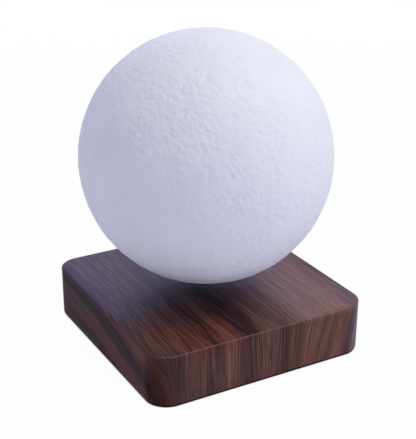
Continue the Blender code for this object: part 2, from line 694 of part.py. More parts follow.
def build_steering_coils(lamp):
    """Four electromagnets: iron core, moulded bobbin and copper winding."""
    bottom = BOARD_TOP + FIT_GAP
    bore = COIL_CORE_RADIUS + FIT_GAP
    barrel = bore + COIL_BOBBIN_WALL
    upper_flange = FRAME_TOP - COIL_FLANGE_THICKNESS
    lower_flange = bottom + COIL_FLANGE_THICKNESS
    bobbin_profile = [(COIL_FLANGE_RADIUS, FRAME_TOP), (COIL_FLANGE_RADIUS, upper_flange),
                      (barrel, upper_flange), (barrel, lower_flange),
                      (COIL_FLANGE_RADIUS, lower_flange), (COIL_FLANGE_RADIUS, bottom),
                      (bore, bottom), (bore, FRAME_TOP)]
    winding_top = upper_flange - FIT_GAP
    winding_bottom = lower_flange + FIT_GAP
    winding_radius = COIL_FLANGE_RADIUS - COIL_WINDING_INSET
    shoulder = winding_radius - COIL_WINDING_CHAMFER
    winding_profile = [(shoulder, winding_top),
                       (winding_radius, winding_top - COIL_WINDING_CHAMFER),
                       (winding_radius, winding_bottom + COIL_WINDING_CHAMFER),
                       (shoulder, winding_bottom),
                       (barrel + FIT_GAP, winding_bottom),
                       (barrel + FIT_GAP, winding_top)]
    core_profile = [(0, FRAME_TOP), (COIL_CORE_RADIUS, FRAME_TOP),
                    (COIL_CORE_RADIUS, bottom), (0, bottom)]
    for index in range(COILS):
        x, y = on_circle(COIL_CIRCLE_RADIUS, index, COILS)
        for name, profile, material in (("coil_core", core_profile, lamp.iron),
                                        ("coil_bobbin", bobbin_profile, lamp.moulded),
                                        ("coil_winding", winding_profile, lamp.copper)):
            piece = turned(f"{name}_{index + 1}", profile, SMALL_STEPS, material,
                           (x, y, 0), lamp.parts)
            lamp.attach(piece, lamp.base)


def build_sensors(lamp):
    """Two field sensors on three legs each, one across the other."""
    top = FRAME_TOP - SENSOR_TOP_DROP
    leg_bottom = BOARD_TOP + FIT_GAP
    leg_top = top - SENSOR_HEIGHT / 2
    for index, turn in enumerate((0, QUARTER_TURN), start=1):
        x, y = SENSOR_CENTRE_OFFSET * math.sin(turn), -SENSOR_CENTRE_OFFSET * math.cos(turn)
        spin = Matrix.Rotation(turn, 3, "Z")
        sensor = rounded_block(f"hall_sensor_{index}", (SENSOR_WIDTH, SENSOR_DEPTH, SENSOR_HEIGHT),
                               0, 0, lamp.resin, (x, y, top - SENSOR_HEIGHT / 2), lamp.parts)
        sensor.rotation_euler = (0, 0, turn)
        for step in (-1, 0, 1):
            shift = spin @ Vector((step * SENSOR_LEG_PITCH, 0, 0))
            leg = mark_as_tool(rounded_block(
                f"sensor_leg_{index}_{step + 1}",
                (SENSOR_LEG_WIDTH, SENSOR_LEG_WIDTH, leg_top - leg_bottom), 0, 0, None,
                (x + shift.x, y + shift.y, (leg_top + leg_bottom) / 2), lamp.tools))
            leg.rotation_euler = (0, 0, turn)
            combine(sensor, leg, "UNION")
        lamp.attach(sensor, lamp.base)


def build_transmitter_coil(lamp):
    """Flat spiral under the wood, both ends led down to the board."""
    path = spiral(TRANSMITTER_INNER_RADIUS, TRANSMITTER_PITCH, TRANSMITTER_TURNS,
                  TRANSMITTER_CENTRE)
    bend = TRANSMITTER_WIRE
    end = BOARD_TOP + FIT_GAP
    inner_lead = FRAME_INNER_RIM - TRANSMITTER_LEAD_GAP - TRANSMITTER_WIRE / 2
    outer_lead = FRAME_OUTER_RIM + TRANSMITTER_LEAD_GAP + TRANSMITTER_WIRE / 2
    inner_corner = inner_lead + bend * (1 - math.cos(math.pi / 4))
    down = [(inner_lead, 0, end),
            (inner_lead, 0, TRANSMITTER_CENTRE - bend),
            (inner_corner, 0, TRANSMITTER_CENTRE - (inner_corner - inner_lead)),
            (inner_lead + bend, 0, TRANSMITTER_CENTRE)]
    up = bent_lead(outer_lead, TRANSMITTER_CENTRE, end, bend)
    coil = wire("transmitter_coil", down + path + up, TRANSMITTER_WIRE, lamp.copper, lamp.parts)
    lamp.attach(coil, lamp.base)


def build_power_inlet(lamp):
    """Barrel jack under the board, facing the hole in the rear wall."""
    middle = JACK_FACE - JACK_LENGTH / 2
    jack = rounded_block("dc_jack", (JACK_WIDTH, JACK_LENGTH, JACK_HEIGHT), 0,
                         JACK_EDGE_RADIUS, lamp.resin, (0, middle, INLET_HEIGHT), lamp.parts)
    bore_length = JACK_BORE_DEPTH + CUT_OVERRUN
    along = Matrix.Rotation(QUARTER_TURN, 4, "X")
    bore = cylinder("jack_bore_cut", JACK_BORE_RADIUS, bore_length,
                    (0, JACK_FACE + CUT_OVERRUN - bore_length / 2, INLET_HEIGHT),
                    lamp.tools, SMALL_STEPS, along)
    combine(jack, bore, "DIFFERENCE")
    lamp.attach(jack, lamp.base)
    root = JACK_FACE - JACK_BORE_DEPTH + FIT_GAP
    tip_round = JACK_PIN_RADIUS / 2
    length = JACK_FACE - JACK_PIN_RECESS - root
    profile = [(0, length), (JACK_PIN_RADIUS - tip_round, length),
               (JACK_PIN_RADIUS, length - tip_round), (JACK_PIN_RADIUS, 0), (0, 0)]
    pin = turned("dc_jack_pin", profile, SCREW_STEPS, lamp.brass, (0, root, INLET_HEIGHT),
                 lamp.parts)
    pin.rotation_euler = (-QUARTER_TURN, 0, 0)
    lamp.attach(pin, lamp.base)


def build_board_parts(lamp):
    """Driver chip with its heat sink, two capacitors and a choke."""
    chip = rounded_block("driver_chip", (CHIP_SIDE, CHIP_SIDE, CHIP_HEIGHT), 0, 0, lamp.resin,
                         (CHIP_OFFSET_X, CHIP_OFFSET_Y, PARTS_TOP - CHIP_HEIGHT / 2), lamp.parts)
    lamp.attach(chip, lamp.base)
    build_heat_sink(lamp, PARTS_TOP - CHIP_HEIGHT - FIT_GAP)
    groove = CAN_GROOVE_DROP
    can = rounded_bar_profile(CAN_RADIUS, PARTS_TOP - CAN_HEIGHT, PARTS_TOP, CAN_EDGE_RADIUS)
    waist = [(CAN_RADIUS, PARTS_TOP - groove + CAN_GROOVE_DEPTH),
             (CAN_RADIUS - CAN_GROOVE_DEPTH, PARTS_TOP - groove),
             (CAN_RADIUS, PARTS_TOP - groove - CAN_GROOVE_DEPTH)]
    half = len(can) // 2
    pieces = [turned("input_capacitor", can[:half] + waist + can[half:], SMALL_STEPS,
                     lamp.aluminium, (CAN_OFFSET_X, CAN_OFFSET_Y, 0), lamp.parts),
              rounded_block("film_capacitor", (FILM_WIDTH, FILM_DEPTH, FILM_HEIGHT), 0,
                            FILM_EDGE_RADIUS, lamp.film_case,
                            (FILM_OFFSET_X, FILM_OFFSET_Y, PARTS_TOP - FILM_HEIGHT / 2),
                            lamp.parts)]
    bottom = PARTS_TOP - CHOKE_HEIGHT
    waist_radius = CHOKE_RADIUS - CHOKE_GROOVE_DEPTH
    choke = [(0, PARTS_TOP), (CHOKE_RADIUS, PARTS_TOP),
             (CHOKE_RADIUS, PARTS_TOP - CHOKE_FLANGE),
             (waist_radius, PARTS_TOP - CHOKE_FLANGE),
             (waist_radius, bottom + CHOKE_FLANGE),
             (CHOKE_RADIUS, bottom + CHOKE_FLANGE), (CHOKE_RADIUS, bottom), (0, bottom)]
    pieces.append(turned("choke", choke, SMALL_STEPS, lamp.ferrite,
                         (CHOKE_OFFSET_X, CHOKE_OFFSET_Y, 0), lamp.parts))
    for piece in pieces:
        lamp.attach(piece, lamp.base)


def build_heat_sink(lamp, top):
    """Extruded comb of fins, floor up, against the driver chip."""
    pitch = (SINK_WIDTH - SINK_FIN_THICKNESS) / (SINK_FIN_COUNT - 1)
    outline = [(-SINK_WIDTH / 2, top), (-SINK_WIDTH / 2, top - SINK_FLOOR - SINK_FIN_HEIGHT)]
    for index in range(SINK_FIN_COUNT):
        left = -SINK_WIDTH / 2 + pitch * index
        right = left + SINK_FIN_THICKNESS
        tip = top - SINK_FLOOR - SINK_FIN_HEIGHT
        if index > 0:
            outline += [(left, top - SINK_FLOOR), (left, tip)]
        outline.append((right, tip))
        if index < SINK_FIN_COUNT - 1:
            outline.append((right, top - SINK_FLOOR))
    outline.append((SINK_WIDTH / 2, top))
    bm = bmesh.new()
    face = bm.faces.new([bm.verts.new((x, -SINK_LENGTH / 2, z)) for x, z in outline])
    grown = bmesh.ops.extrude_face_region(bm, geom=[face])["geom"]
    moved = [item for item in grown if isinstance(item, bmesh.types.BMVert)]
    bmesh.ops.translate(bm, vec=(0, SINK_LENGTH, 0), verts=moved)
    sink = add_mesh("heat_sink", bm, lamp.aluminium, (CHIP_OFFSET_X, CHIP_OFFSET_Y, 0),
                    lamp.parts)
    lamp.attach(sink, lamp.base)


def build_moon_shell(lamp):
    """Hollow sphere with a short neck round the opening below."""
    inner_radius = MOON_RADIUS - MOON_WALL
    neck_outer = MOON_OPENING_RADIUS + MOON_NECK_WALL
    opening_angle = math.asin(MOON_OPENING_RADIUS / MOON_RADIUS) - QUARTER_TURN
    neck_angle = math.asin(neck_outer / inner_radius) - QUARTER_TURN
    neck_top = OPENING_EDGE - MOON_CENTRE + MOON_NECK_HEIGHT
    profile = arc(0, 0, MOON_RADIUS, QUARTER_TURN, opening_angle, MOON_OUTER_ARC_POINTS)
    profile += [(MOON_OPENING_RADIUS, neck_top), (neck_outer, neck_top)]
    profile += arc(0, 0, inner_radius, neck_angle, QUARTER_TURN, MOON_INNER_ARC_POINTS)
    profile[0] = (0, MOON_RADIUS)
    profile[-1] = (0, inner_radius)
    shell = turned("moon_shell", profile, MOON_STEPS, lamp.printed, (0, 0, MOON_CENTRE),
                   lamp.parts)
    lamp.attach(shell, lamp.spin)


def build_moon_plug(lamp):
    """Spherical cap with a rim that fits the neck, and bosses for the tray."""
    rim_top = PLUG_EDGE - MOON_CENTRE + PLUG_RIM_HEIGHT
    edge_angle = math.asin(PLUG_RADIUS / MOON_RADIUS) - QUARTER_TURN
    floor_angle = math.asin(PLUG_INNER_RADIUS / PLUG_FLOOR_SPHERE) - QUARTER_TURN
    profile = arc(0, 0, PLUG_FLOOR_SPHERE, floor_angle, -QUARTER_TURN, CAP_ARC_POINTS)
    profile[-1] = (0, -PLUG_FLOOR_SPHERE)
    outside = arc(0, 0, MOON_RADIUS, edge_angle, -QUARTER_TURN, CAP_ARC_POINTS)
    outside[-1] = (0, -MOON_RADIUS)
    rim = [(PLUG_INNER_RADIUS, rim_top), (PLUG_RADIUS, rim_top)]
    plug = turned("moon_plug", profile[::-1] + rim + outside, MEDIUM_STEPS, lamp.printed,
                  (0, 0, MOON_CENTRE), lamp.parts)
    boss_top = TRAY_FLANGE_BOTTOM - FIT_GAP
    # A boss ends between the outer face under its far side and the inner face under its near side
    far_drop = drop_of_sphere(MOON_RADIUS, TRAY_SCREW_CIRCLE + PLUG_BOSS_RADIUS)
    near_drop = drop_of_sphere(PLUG_FLOOR_SPHERE, TRAY_SCREW_CIRCLE - PLUG_BOSS_RADIUS)
    boss_bottom = MOON_CENTRE - (far_drop + near_drop) / 2
    screw_tip = TRAY_FLANGE_TOP + FIT_GAP - TRAY_SCREW_LENGTH
    for index in range(TRAY_SCREWS):
        x, y = on_circle(TRAY_SCREW_CIRCLE, index, TRAY_SCREWS, QUARTER_TURN)
        boss = cylinder(f"plug_boss_{index + 1}", PLUG_BOSS_RADIUS, boss_top - boss_bottom,
                        (x, y, (boss_top + boss_bottom) / 2), lamp.tools)
        combine(plug, boss, "UNION")
    for index in range(TRAY_SCREWS):
        x, y = on_circle(TRAY_SCREW_CIRCLE, index, TRAY_SCREWS, QUARTER_TURN)
        bottom = screw_tip - FIT_GAP
        top = boss_top + CUT_OVERRUN
        hole = cylinder(f"boss_hole_cut_{index + 1}", TRAY_SCREW_RADIUS + FIT_GAP, top - bottom,
                        (x, y, (top + bottom) / 2), lamp.tools, SCREW_STEPS)
        combine(plug, hole, "DIFFERENCE")
    lamp.attach(plug, lamp.spin)


def build_magnet_tray(lamp):
    """Tray with a well for the magnet, and posts for the light's board."""
    profile = [(TRAY_RADIUS, TRAY_FLANGE_TOP), (TRAY_RADIUS, TRAY_FLANGE_BOTTOM),
               (WELL_OUTER_RADIUS, TRAY_FLANGE_BOTTOM), (WELL_OUTER_RADIUS, WELL_BOTTOM),
               (0, WELL_BOTTOM)]
    inside = [(0, WELL_BOTTOM + TRAY_WALL), (WELL_RADIUS, WELL_BOTTOM + TRAY_WALL),
              (WELL_RADIUS, TRAY_FLANGE_TOP)]
    tray = turned("magnet_tray", inside + profile, MEDIUM_STEPS, lamp.white_moulded,
                  (0, 0, 0), lamp.parts)
    post_top = LED_BOARD_BOTTOM - FIT_GAP
    post_bottom = TRAY_FLANGE_TOP - TRAY_FLANGE_THICKNESS / 2
    for index in range(TRAY_SCREWS):
        x, y = on_circle(TRAY_SCREW_CIRCLE, index, TRAY_SCREWS, -QUARTER_TURN)
        post = cylinder(f"tray_post_{index + 1}", TRAY_POST_RADIUS, post_top - post_bottom,
                        (x, y, (post_top + post_bottom) / 2), lamp.tools)
        combine(tray, post, "UNION")
    screw_tip = LED_BOARD_TOP + FIT_GAP - LED_SCREW_LENGTH
    for index in range(TRAY_SCREWS):
        for name, start, bottom, top in (
                ("tray_hole_cut", QUARTER_TURN, TRAY_FLANGE_BOTTOM - CUT_OVERRUN,
                 TRAY_FLANGE_TOP + CUT_OVERRUN),
                ("post_hole_cut", -QUARTER_TURN, screw_tip - FIT_GAP,
                 post_top + CUT_OVERRUN)):
            x, y = on_circle(TRAY_SCREW_CIRCLE, index, TRAY_SCREWS, start)
            hole = cylinder(f"{name}_{index + 1}", TRAY_SCREW_RADIUS + FIT_GAP, top - bottom,
                            (x, y, (top + bottom) / 2), lamp.tools, SCREW_STEPS)
            combine(tray, hole, "DIFFERENCE")
    lamp.attach(tray, lamp.spin)


def build_moon_screws(lamp):
    """Screws of the tray and of the light's board, heads up."""
    for name, start, seat, length in (
            ("tray_screw", QUARTER_TURN, TRAY_FLANGE_TOP + FIT_GAP, TRAY_SCREW_LENGTH),
            ("led_board_screw", -QUARTER_TURN, LED_BOARD_TOP + FIT_GAP, LED_SCREW_LENGTH)):
        profile = screw_profile(TRAY_SCREW_RADIUS, TRAY_SCREW_HEAD_RADIUS,
                                TRAY_SCREW_HEAD_HEIGHT, length)
        for index in range(TRAY_SCREWS):
            x, y = on_circle(TRAY_SCREW_CIRCLE, index, TRAY_SCREWS, start)
            screw = turned(f"{name}_{index + 1}", profile, SCREW_STEPS, lamp.zinc,
                           (x, y, seat), lamp.parts)
            screw.rotation_euler = (math.pi, 0, 0)
            lamp.attach(screw, lamp.spin)


def build_floating_magnet(lamp):
    """Plated disc magnet, which the base's field holds up."""
    top = MAGNET_BOTTOM + FLOATING_MAGNET_HEIGHT
    chamfer = FLOATING_MAGNET_CHAMFER
    radius = FLOATING_MAGNET_RADIUS
    profile = [(0, top), (radius - chamfer, top), (radius, top - chamfer),
               (radius, MAGNET_BOTTOM + chamfer), (radius - chamfer, MAGNET_BOTTOM),
               (0, MAGNET_BOTTOM)]
    magnet = turned("floating_magnet", profile, MEDIUM_STEPS, lamp.nickel, (0, 0, 0),
                    lamp.parts)
    lamp.attach(magnet, lamp.lift)


def build_receiver_coil(lamp):
    """Flat spiral on the tray, both ends led up to the light's board."""
    path = spiral(RECEIVER_INNER_RADIUS, RECEIVER_PITCH, RECEIVER_TURNS, RECEIVER_CENTRE)
    end = LED_BOARD_BOTTOM - FIT_GAP
    rise = RECEIVER_WIRE
    start_lead = [(RECEIVER_INNER_RADIUS, -rise, end),
                  (RECEIVER_INNER_RADIUS, -rise, RECEIVER_CENTRE + rise / 2)]
    end_lead = [(RECEIVER_OUTER_RADIUS, rise, RECEIVER_CENTRE + rise / 2),
                (RECEIVER_OUTER_RADIUS, rise, end)]
    coil = wire("receiver_coil", start_lead + path + end_lead, RECEIVER_WIRE, lamp.copper,
                lamp.parts)
    lamp.attach(coil, lamp.spin)


def build_light(lamp):
    """Round board with its diodes and a smoothing capacitor."""
    board = disc("led_board", TRAY_RADIUS, LED_BOARD_BOTTOM, LED_BOARD_TOP,
                 MEDIUM_STEPS, lamp.white_laminate, lamp.parts)
    for index in range(TRAY_SCREWS):
        x, y = on_circle(TRAY_SCREW_CIRCLE, index, TRAY_SCREWS, -QUARTER_TURN)
        hole = cylinder(f"led_board_hole_cut_{index + 1}", TRAY_SCREW_RADIUS + FIT_GAP,
                        LED_BOARD_THICKNESS + 2 * CUT_OVERRUN,
                        (x, y, (LED_BOARD_TOP + LED_BOARD_BOTTOM) / 2), lamp.tools, SCREW_STEPS)
        combine(board, hole, "DIFFERENCE")
    lamp.attach(board, lamp.spin)
    seat = LED_BOARD_TOP + FIT_GAP
    lens_foot = seat + LED_HEIGHT / 2
    lens_top = seat + LED_HEIGHT + LED_LENS_HEIGHT
    lens_profile = [(0, lens_top), (LED_LENS_RADIUS / 2, lens_top - LED_LENS_HEIGHT / 4),
                    (LED_LENS_RADIUS, seat + LED_HEIGHT), (LED_LENS_RADIUS, lens_foot),
                    (0, lens_foot)]
    for index in range(LEDS):
        x, y = on_circle(LED_CIRCLE_RADIUS, index, LEDS, math.pi / LEDS)
        led = rounded_block(f"led_{index + 1}", (LED_SIDE, LED_SIDE, LED_HEIGHT), 0, 0,
                            lamp.lens, (x, y, seat + LED_HEIGHT / 2), lamp.parts)
        lens = mark_as_tool(turned(f"led_lens_{index + 1}", lens_profile, SMALL_STEPS, None,
                                   (x, y, 0), lamp.tools))
        combine(led, lens, "UNION")
        lamp.attach(led, lamp.spin)
    can = rounded_bar_profile(SMOOTHING_CAN_RADIUS, seat, seat + SMOOTHING_CAN_HEIGHT,
                              CAN_EDGE_RADIUS)
    capacitor = turned("smoothing_capacitor", can, SMALL_STEPS, lamp.aluminium, (0, 0, 0),
                       lamp.parts)
    lamp.attach(capacitor, lamp.spin)


def build_lamp():
    """Build every piece of the lamp."""
    clear_scene()
    lamp = Lamp()
    build_base_block(lamp)
    build_cover(lamp)
    build_cover_screws(lamp)
    build_feet(lamp)
    build_control_board(lamp)
    build_module_frame(lamp)
    build_ring_magnet(lamp)
    build_steering_coils(lamp)
    build_sensors(lamp)
    build_transmitter_coil(lamp)
    build_power_inlet(lamp)
    build_board_parts(lamp)
    build_moon_shell(lamp)
    build_moon_plug(lamp)
    build_magnet_tray(lamp)
    build_moon_screws(lamp)
    build_floating_magnet(lamp)
    build_receiver_coil(lamp)
    build_light(lamp)
    finish_meshes(lamp.parts)


build_lamp()
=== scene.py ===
"""Looks of the levitating moon lamp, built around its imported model.

The printed moon, the foiled base, the parts inside and a small studio. Metres, +Z up. The front
of the lamp is -Y, and the camera stands in front of it, to its left.
"""
import math
import random

import bmesh
import bpy
import numpy as np
from mathutils import Matrix, Vector, noise


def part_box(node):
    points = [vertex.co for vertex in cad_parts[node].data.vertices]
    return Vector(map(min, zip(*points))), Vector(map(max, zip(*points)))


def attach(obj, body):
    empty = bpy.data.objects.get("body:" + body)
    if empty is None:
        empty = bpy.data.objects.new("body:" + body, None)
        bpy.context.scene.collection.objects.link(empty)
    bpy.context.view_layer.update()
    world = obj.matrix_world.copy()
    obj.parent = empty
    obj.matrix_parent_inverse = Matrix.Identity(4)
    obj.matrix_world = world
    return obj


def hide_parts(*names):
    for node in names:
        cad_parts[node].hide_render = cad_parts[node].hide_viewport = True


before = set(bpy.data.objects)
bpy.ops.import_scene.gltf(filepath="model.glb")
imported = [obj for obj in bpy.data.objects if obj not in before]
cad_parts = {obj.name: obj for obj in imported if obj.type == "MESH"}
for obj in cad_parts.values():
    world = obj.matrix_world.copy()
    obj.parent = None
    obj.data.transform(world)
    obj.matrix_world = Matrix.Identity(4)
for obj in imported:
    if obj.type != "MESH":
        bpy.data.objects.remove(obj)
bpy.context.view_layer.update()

bl_info = {
    "name": "Levitating Moon Lamp",
    "version": (1, 0, 0),
    "blender": (4, 5, 0),
    "location": "3D View > Sidebar > Moon Lamp",
    "description": "The moon, foiled base, inner parts and studio of a levitating lamp",
    "category": "Object",
}

# A millimetre in metres
MM = 0.001

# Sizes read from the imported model, in metres
BLOCK_LOW, BLOCK_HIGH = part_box("base_block")
SHELL_LOW, SHELL_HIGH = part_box("moon_shell")
COVER_LOW, COVER_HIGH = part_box("bottom_cover")
JACK_LOW, JACK_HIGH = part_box("dc_jack")
PLUG_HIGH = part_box("moon_plug")[1]
BOARD_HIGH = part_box("control_board")[1]
MODULE_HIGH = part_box("module_frame")[1]
TRAY_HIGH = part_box("magnet_tray")[1]
BLOCK_HALF = BLOCK_HIGH.x
MOON_RADIUS = (SHELL_HIGH.y - SHELL_LOW.y) / 2
MOON_CENTRE = SHELL_HIGH.z - MOON_RADIUS
PLUG_RADIUS = PLUG_HIGH.y

# Gap between pieces that fit, a cutter's reach past a face, and how near two points count as one
FIT_GAP = 0.0003
OVERRUN = MM
TOUCH = 0.01 * MM

# The angle from which an edge is sharp, on the pieces and on the relief
SHARP_ANGLE = math.radians(35)
SHARP_RELIEF = math.radians(60)

# Steps round a full turn or a corner, and rings and points along a curve
ROUND_STEPS = 96
INLET_STEPS = 48
BOSS_STEPS = 32
CORNER_STEPS = 24
REBATE_STEPS = 12
EDGE_STEPS = 4
WALL_RINGS = 30
PLUG_POINTS = 24

# The moon's rough belt: the pole that it goes round, its width, and which way and how far its
# short streaks are drawn out
BELT_POLE = Vector((0.7524, -0.1058, 0.6501))
BELT_WIDTH = 0.5
STREAK_WAY = Vector((0.4786, -0.5902, -0.6501))
STREAK_STRETCH = 0.15

# How rough the moon is, and what the belt and the far side add. Then its roughest and smoothest
# place: unit direction, reach, and what it adds.
EVEN_SHARE = 0.7
BELT_SHARE = 0.06
FAR_SHARE = 0.5
FAR_START = 0.2
ROUGH_PLACES = ((Vector((-0.66, -0.32, 0.68)), 0.62, 0.25),
                (Vector((-0.91, -0.37, -0.17)), 0.9, -0.2))

# How often the relief's patches, creases and grains come, how patchy it is, and the limits
PATCHES = 7
CREASES = 17
GRAINS = 60
PATCH_SHIFT = Vector((4.0, 1.0, 2.0))
PATCHINESS = 0.8
PATCH_LIMITS = (0.4, 1.4)

# Craters: depth as a share of the radius and at most, reach in radii, and the rim's height as a
# share of the depth and width in radii
CRATER_SEED = 12
CRATER_DEPTH_SHARE = 0.11
CRATER_DEEPEST = 0.21 * MM
CRATER_REACH = 1.7
CRATER_RIM_SHARE = 0.35
CRATER_RIM_WIDTH = 0.22

# The height over the opening in which the relief rises from the plain ball
RELIEF_FADE = 3 * MM

# Craters and specks that stand out: unit directions, radii in millimetres, the specks' strengths
MARKED_CRATERS = (((0.022, -0.944, 0.328), 2.2), ((0.144, -0.973, 0.181), 1.9),
                  ((0.349, -0.935, 0.062), 1.7))
BRIGHT_SPECKS = (((-0.763, -0.550, 0.339), 1.5, 0.6), ((-0.667, -0.726, 0.164), 0.9, 0.3))

# Where a speck ends and is full, in its radii
SPECK_SHARES = (1.2, 0.5)

# Bands across the foil: places in millimetres from its middle, and tones from dark 0 to light 1
BAND_TONES = ((-102, 0.4), (-95, 0.25), (-88, 0.5), (-82, 0.45), (-78, 0.0), (-72, 0.1), (-64, 0.6),
              (-47, 0.75), (-36, 0.8), (-32.5, 0.45), (-28, 0.7), (-17, 0.6), (-13, 0.2), (-6, 0.1),
              (-2, 0.5), (7, 0.5), (11, 0.25), (15, 0.3), (19, 0.5), (27, 0.6), (31, 0.85),
              (46, 0.8), (50, 0.5), (56, 0.5), (60, 0.1), (70, 0.0), (82, 0.2), (88, 0.6),
              (100, 0.3))

# Soft steps over the foil: name, what it runs along, from where to where, and both values. X and Y
# are places on the flat foil in millimetres, a name is an earlier step. Steps of one name multiply.
FOIL_STEPS = (
    ("on_front", "Y", -68, -75, 0.0, 1.0),
    ("on_left", "X", -66, -74, 0.0, 1.0),
    # The left front corner: painted shade there, and softer grain
    ("left_corner", "X", -44, -58, 0.0, 1.0),
    ("left_corner", "Y", -50, -70, 0.0, 1.0),
    # Where a painted cool reflection lies at the right front corner
    ("right_corner", "X", 56, 70, 0.0, 1.0),
    ("right_corner", "Y", -35, -60, 0.0, 1.0),
    ("tone", "on_left", 0, 1, 0.322, 0.33),
    # Painted sheen: the top lighter towards the right, less of it on the front
    ("lift", "X", 5, 45, 0.0, 0.16),
    ("lift", "on_front", 0, 1, 1.0, 0.35),
    ("bands", "on_left", 0, 1, 0.24, 0.42),
    ("bands", "on_front", 0, 1, 1.0, 0.64),
    ("bands", "Y", 52, 66, 1.0, 0.35),
    ("crisp_top", "X", 0, -50, 1.0, 1.3),
    ("crisp_side", "X", -48, -62, 0.78, 0.6),
    ("crisp", "left_corner", 0, 1, 1.0, 0.6),
    # Where the painted cool reflection lies over the rear left of the top
    ("haze", "X", 30, -45, 0.0, 0.55),
    ("haze", "Y", -50, 25, 0.1, 1.0),
    ("haze", "on_left", 0, 1, 1.0, 0.05),
    ("lines", "on_front", 0, 1, 0.5, 0.3),
    ("lines", "X", -54, -68, 1.0, 0.15),
    # Painted highlight: the light line along the upper edge, left out on the left side
    ("painted_highlight", "on_left", 0, 0.6, 0.35, 0.0),
)

# What the left corner's painted shade and the broad, striped and threaded grain add to the tone
CORNER_PAINTED_SHADE = -0.065
BROAD_TONE = 0.36
FINE_TONES = (("stripes", 0.36), ("threads", 0.6))

# Depths between which the top's crispness gives way to that of the sides
SIDE_DEPTHS = (0.2 * MM, 2 * MM)

# Noise at which the light lines and the pores start and are full, and the most that pores cover
LINE_NOISE = (0.59, 0.69)
PORE_NOISE = (0.36, 0.28)
PORE_COVER = 0.6

# How far the left side is warmed as painted shade, its share of the shine, the foil's roughness
# over its stripes, and what rubbing adds to that
SIDE_SHADE_WARMTH = 0.6
SIDE_SHINE = 0.5
STRIPE_NOISE = (0.3, 0.7)
FOIL_ROUGHNESS = (0.27, 0.33)
RUBBED = -0.12

# How the grain bends. Its waves: width, length, layer of the noise and height, in millimetres. Its
# dip on the left: depth, and where along and across. Its lean on the front: slope, and where.
GRAIN_WAVES = ((34, 80, 3.1, 5.0), (9, 26, 6.4, 1.0))
GRAIN_DIP = 16 * MM
DIP_ALONG = (30 * MM, -78 * MM)
DIP_ACROSS = (-46 * MM, -86 * MM)
GRAIN_LEAN = 0.24
LEAN_ACROSS = (14 * MM, 36 * MM)

# Dark streaks of the top, in millimetres: place at the front edge, slant, width, length, strength.
# Then how far they wander, and the shares of the width and length with full strength.
DARK_STREAKS = ((-14, -0.14, 1.8, 46, 0.8), (-12, 0.2, 6.5, 46, 0.45), (-36, 0.14, 1.3, 38, 0.6),
                (-52, 0.1, 1.5, 34, 0.6))
STREAK_WANDER = 8 * MM
STREAK_CORE = 0.2
STREAK_BODY = 0.6

# Where painted shade makes the foil redder at the front left, and where the moon's painted shadow
# lies: middle and reach of each patch. Then the shares of the reach where a patch ends and is full.
WARM_SHADE_PATCH = (Vector((-32, -48, 0)) * MM, Vector((30, 28, 1000)) * MM)
MOON_SHADOW_PATCH = (Vector((-30, -13, 0)) * MM, Vector((32, 32, 1000)) * MM)
PATCH_SHARES = (1.3, 0.7)

# Lamps: name, the setting of its power, colour, and azimuth and elevation in degrees seen from the
# moon's middle
LAMPS = (("key_lamp", "key", "FFFDD9", 47, 58), ("rear_lamp", "rear", "B4BEFF", 156, 25),
         ("side_lamp", "side", "FFFFFF", 240, 25), ("front_lamp", "front", "D8DEFF", 20, 5))
LAMP_DISTANCE = 0.9
LAMP_SIZE = 0.6

# The floor's white near the block, and from where to where it turns full white
FLOOR_WHITE = 0.97
FLOOR_NEAR = 4 * BLOCK_HALF
FLOOR_FAR = 12 * BLOCK_HALF

# What sets the shaders of the finishes apart, and how turning and the like draw out their grain
ABS = {"ior": 1.53}
EPOXY = {"ior": 1.55}
METAL = {"metallic": 1.0}
TURNED = {"metallic": 1.0, "stretch": (0.2, 0.2, 1)}
DRAWN = {"metallic": 1.0, "stretch": (1, 0.1, 1)}
WOUND = {"metallic": 1.0, "stretch": (0.05, 0.05, 1)}

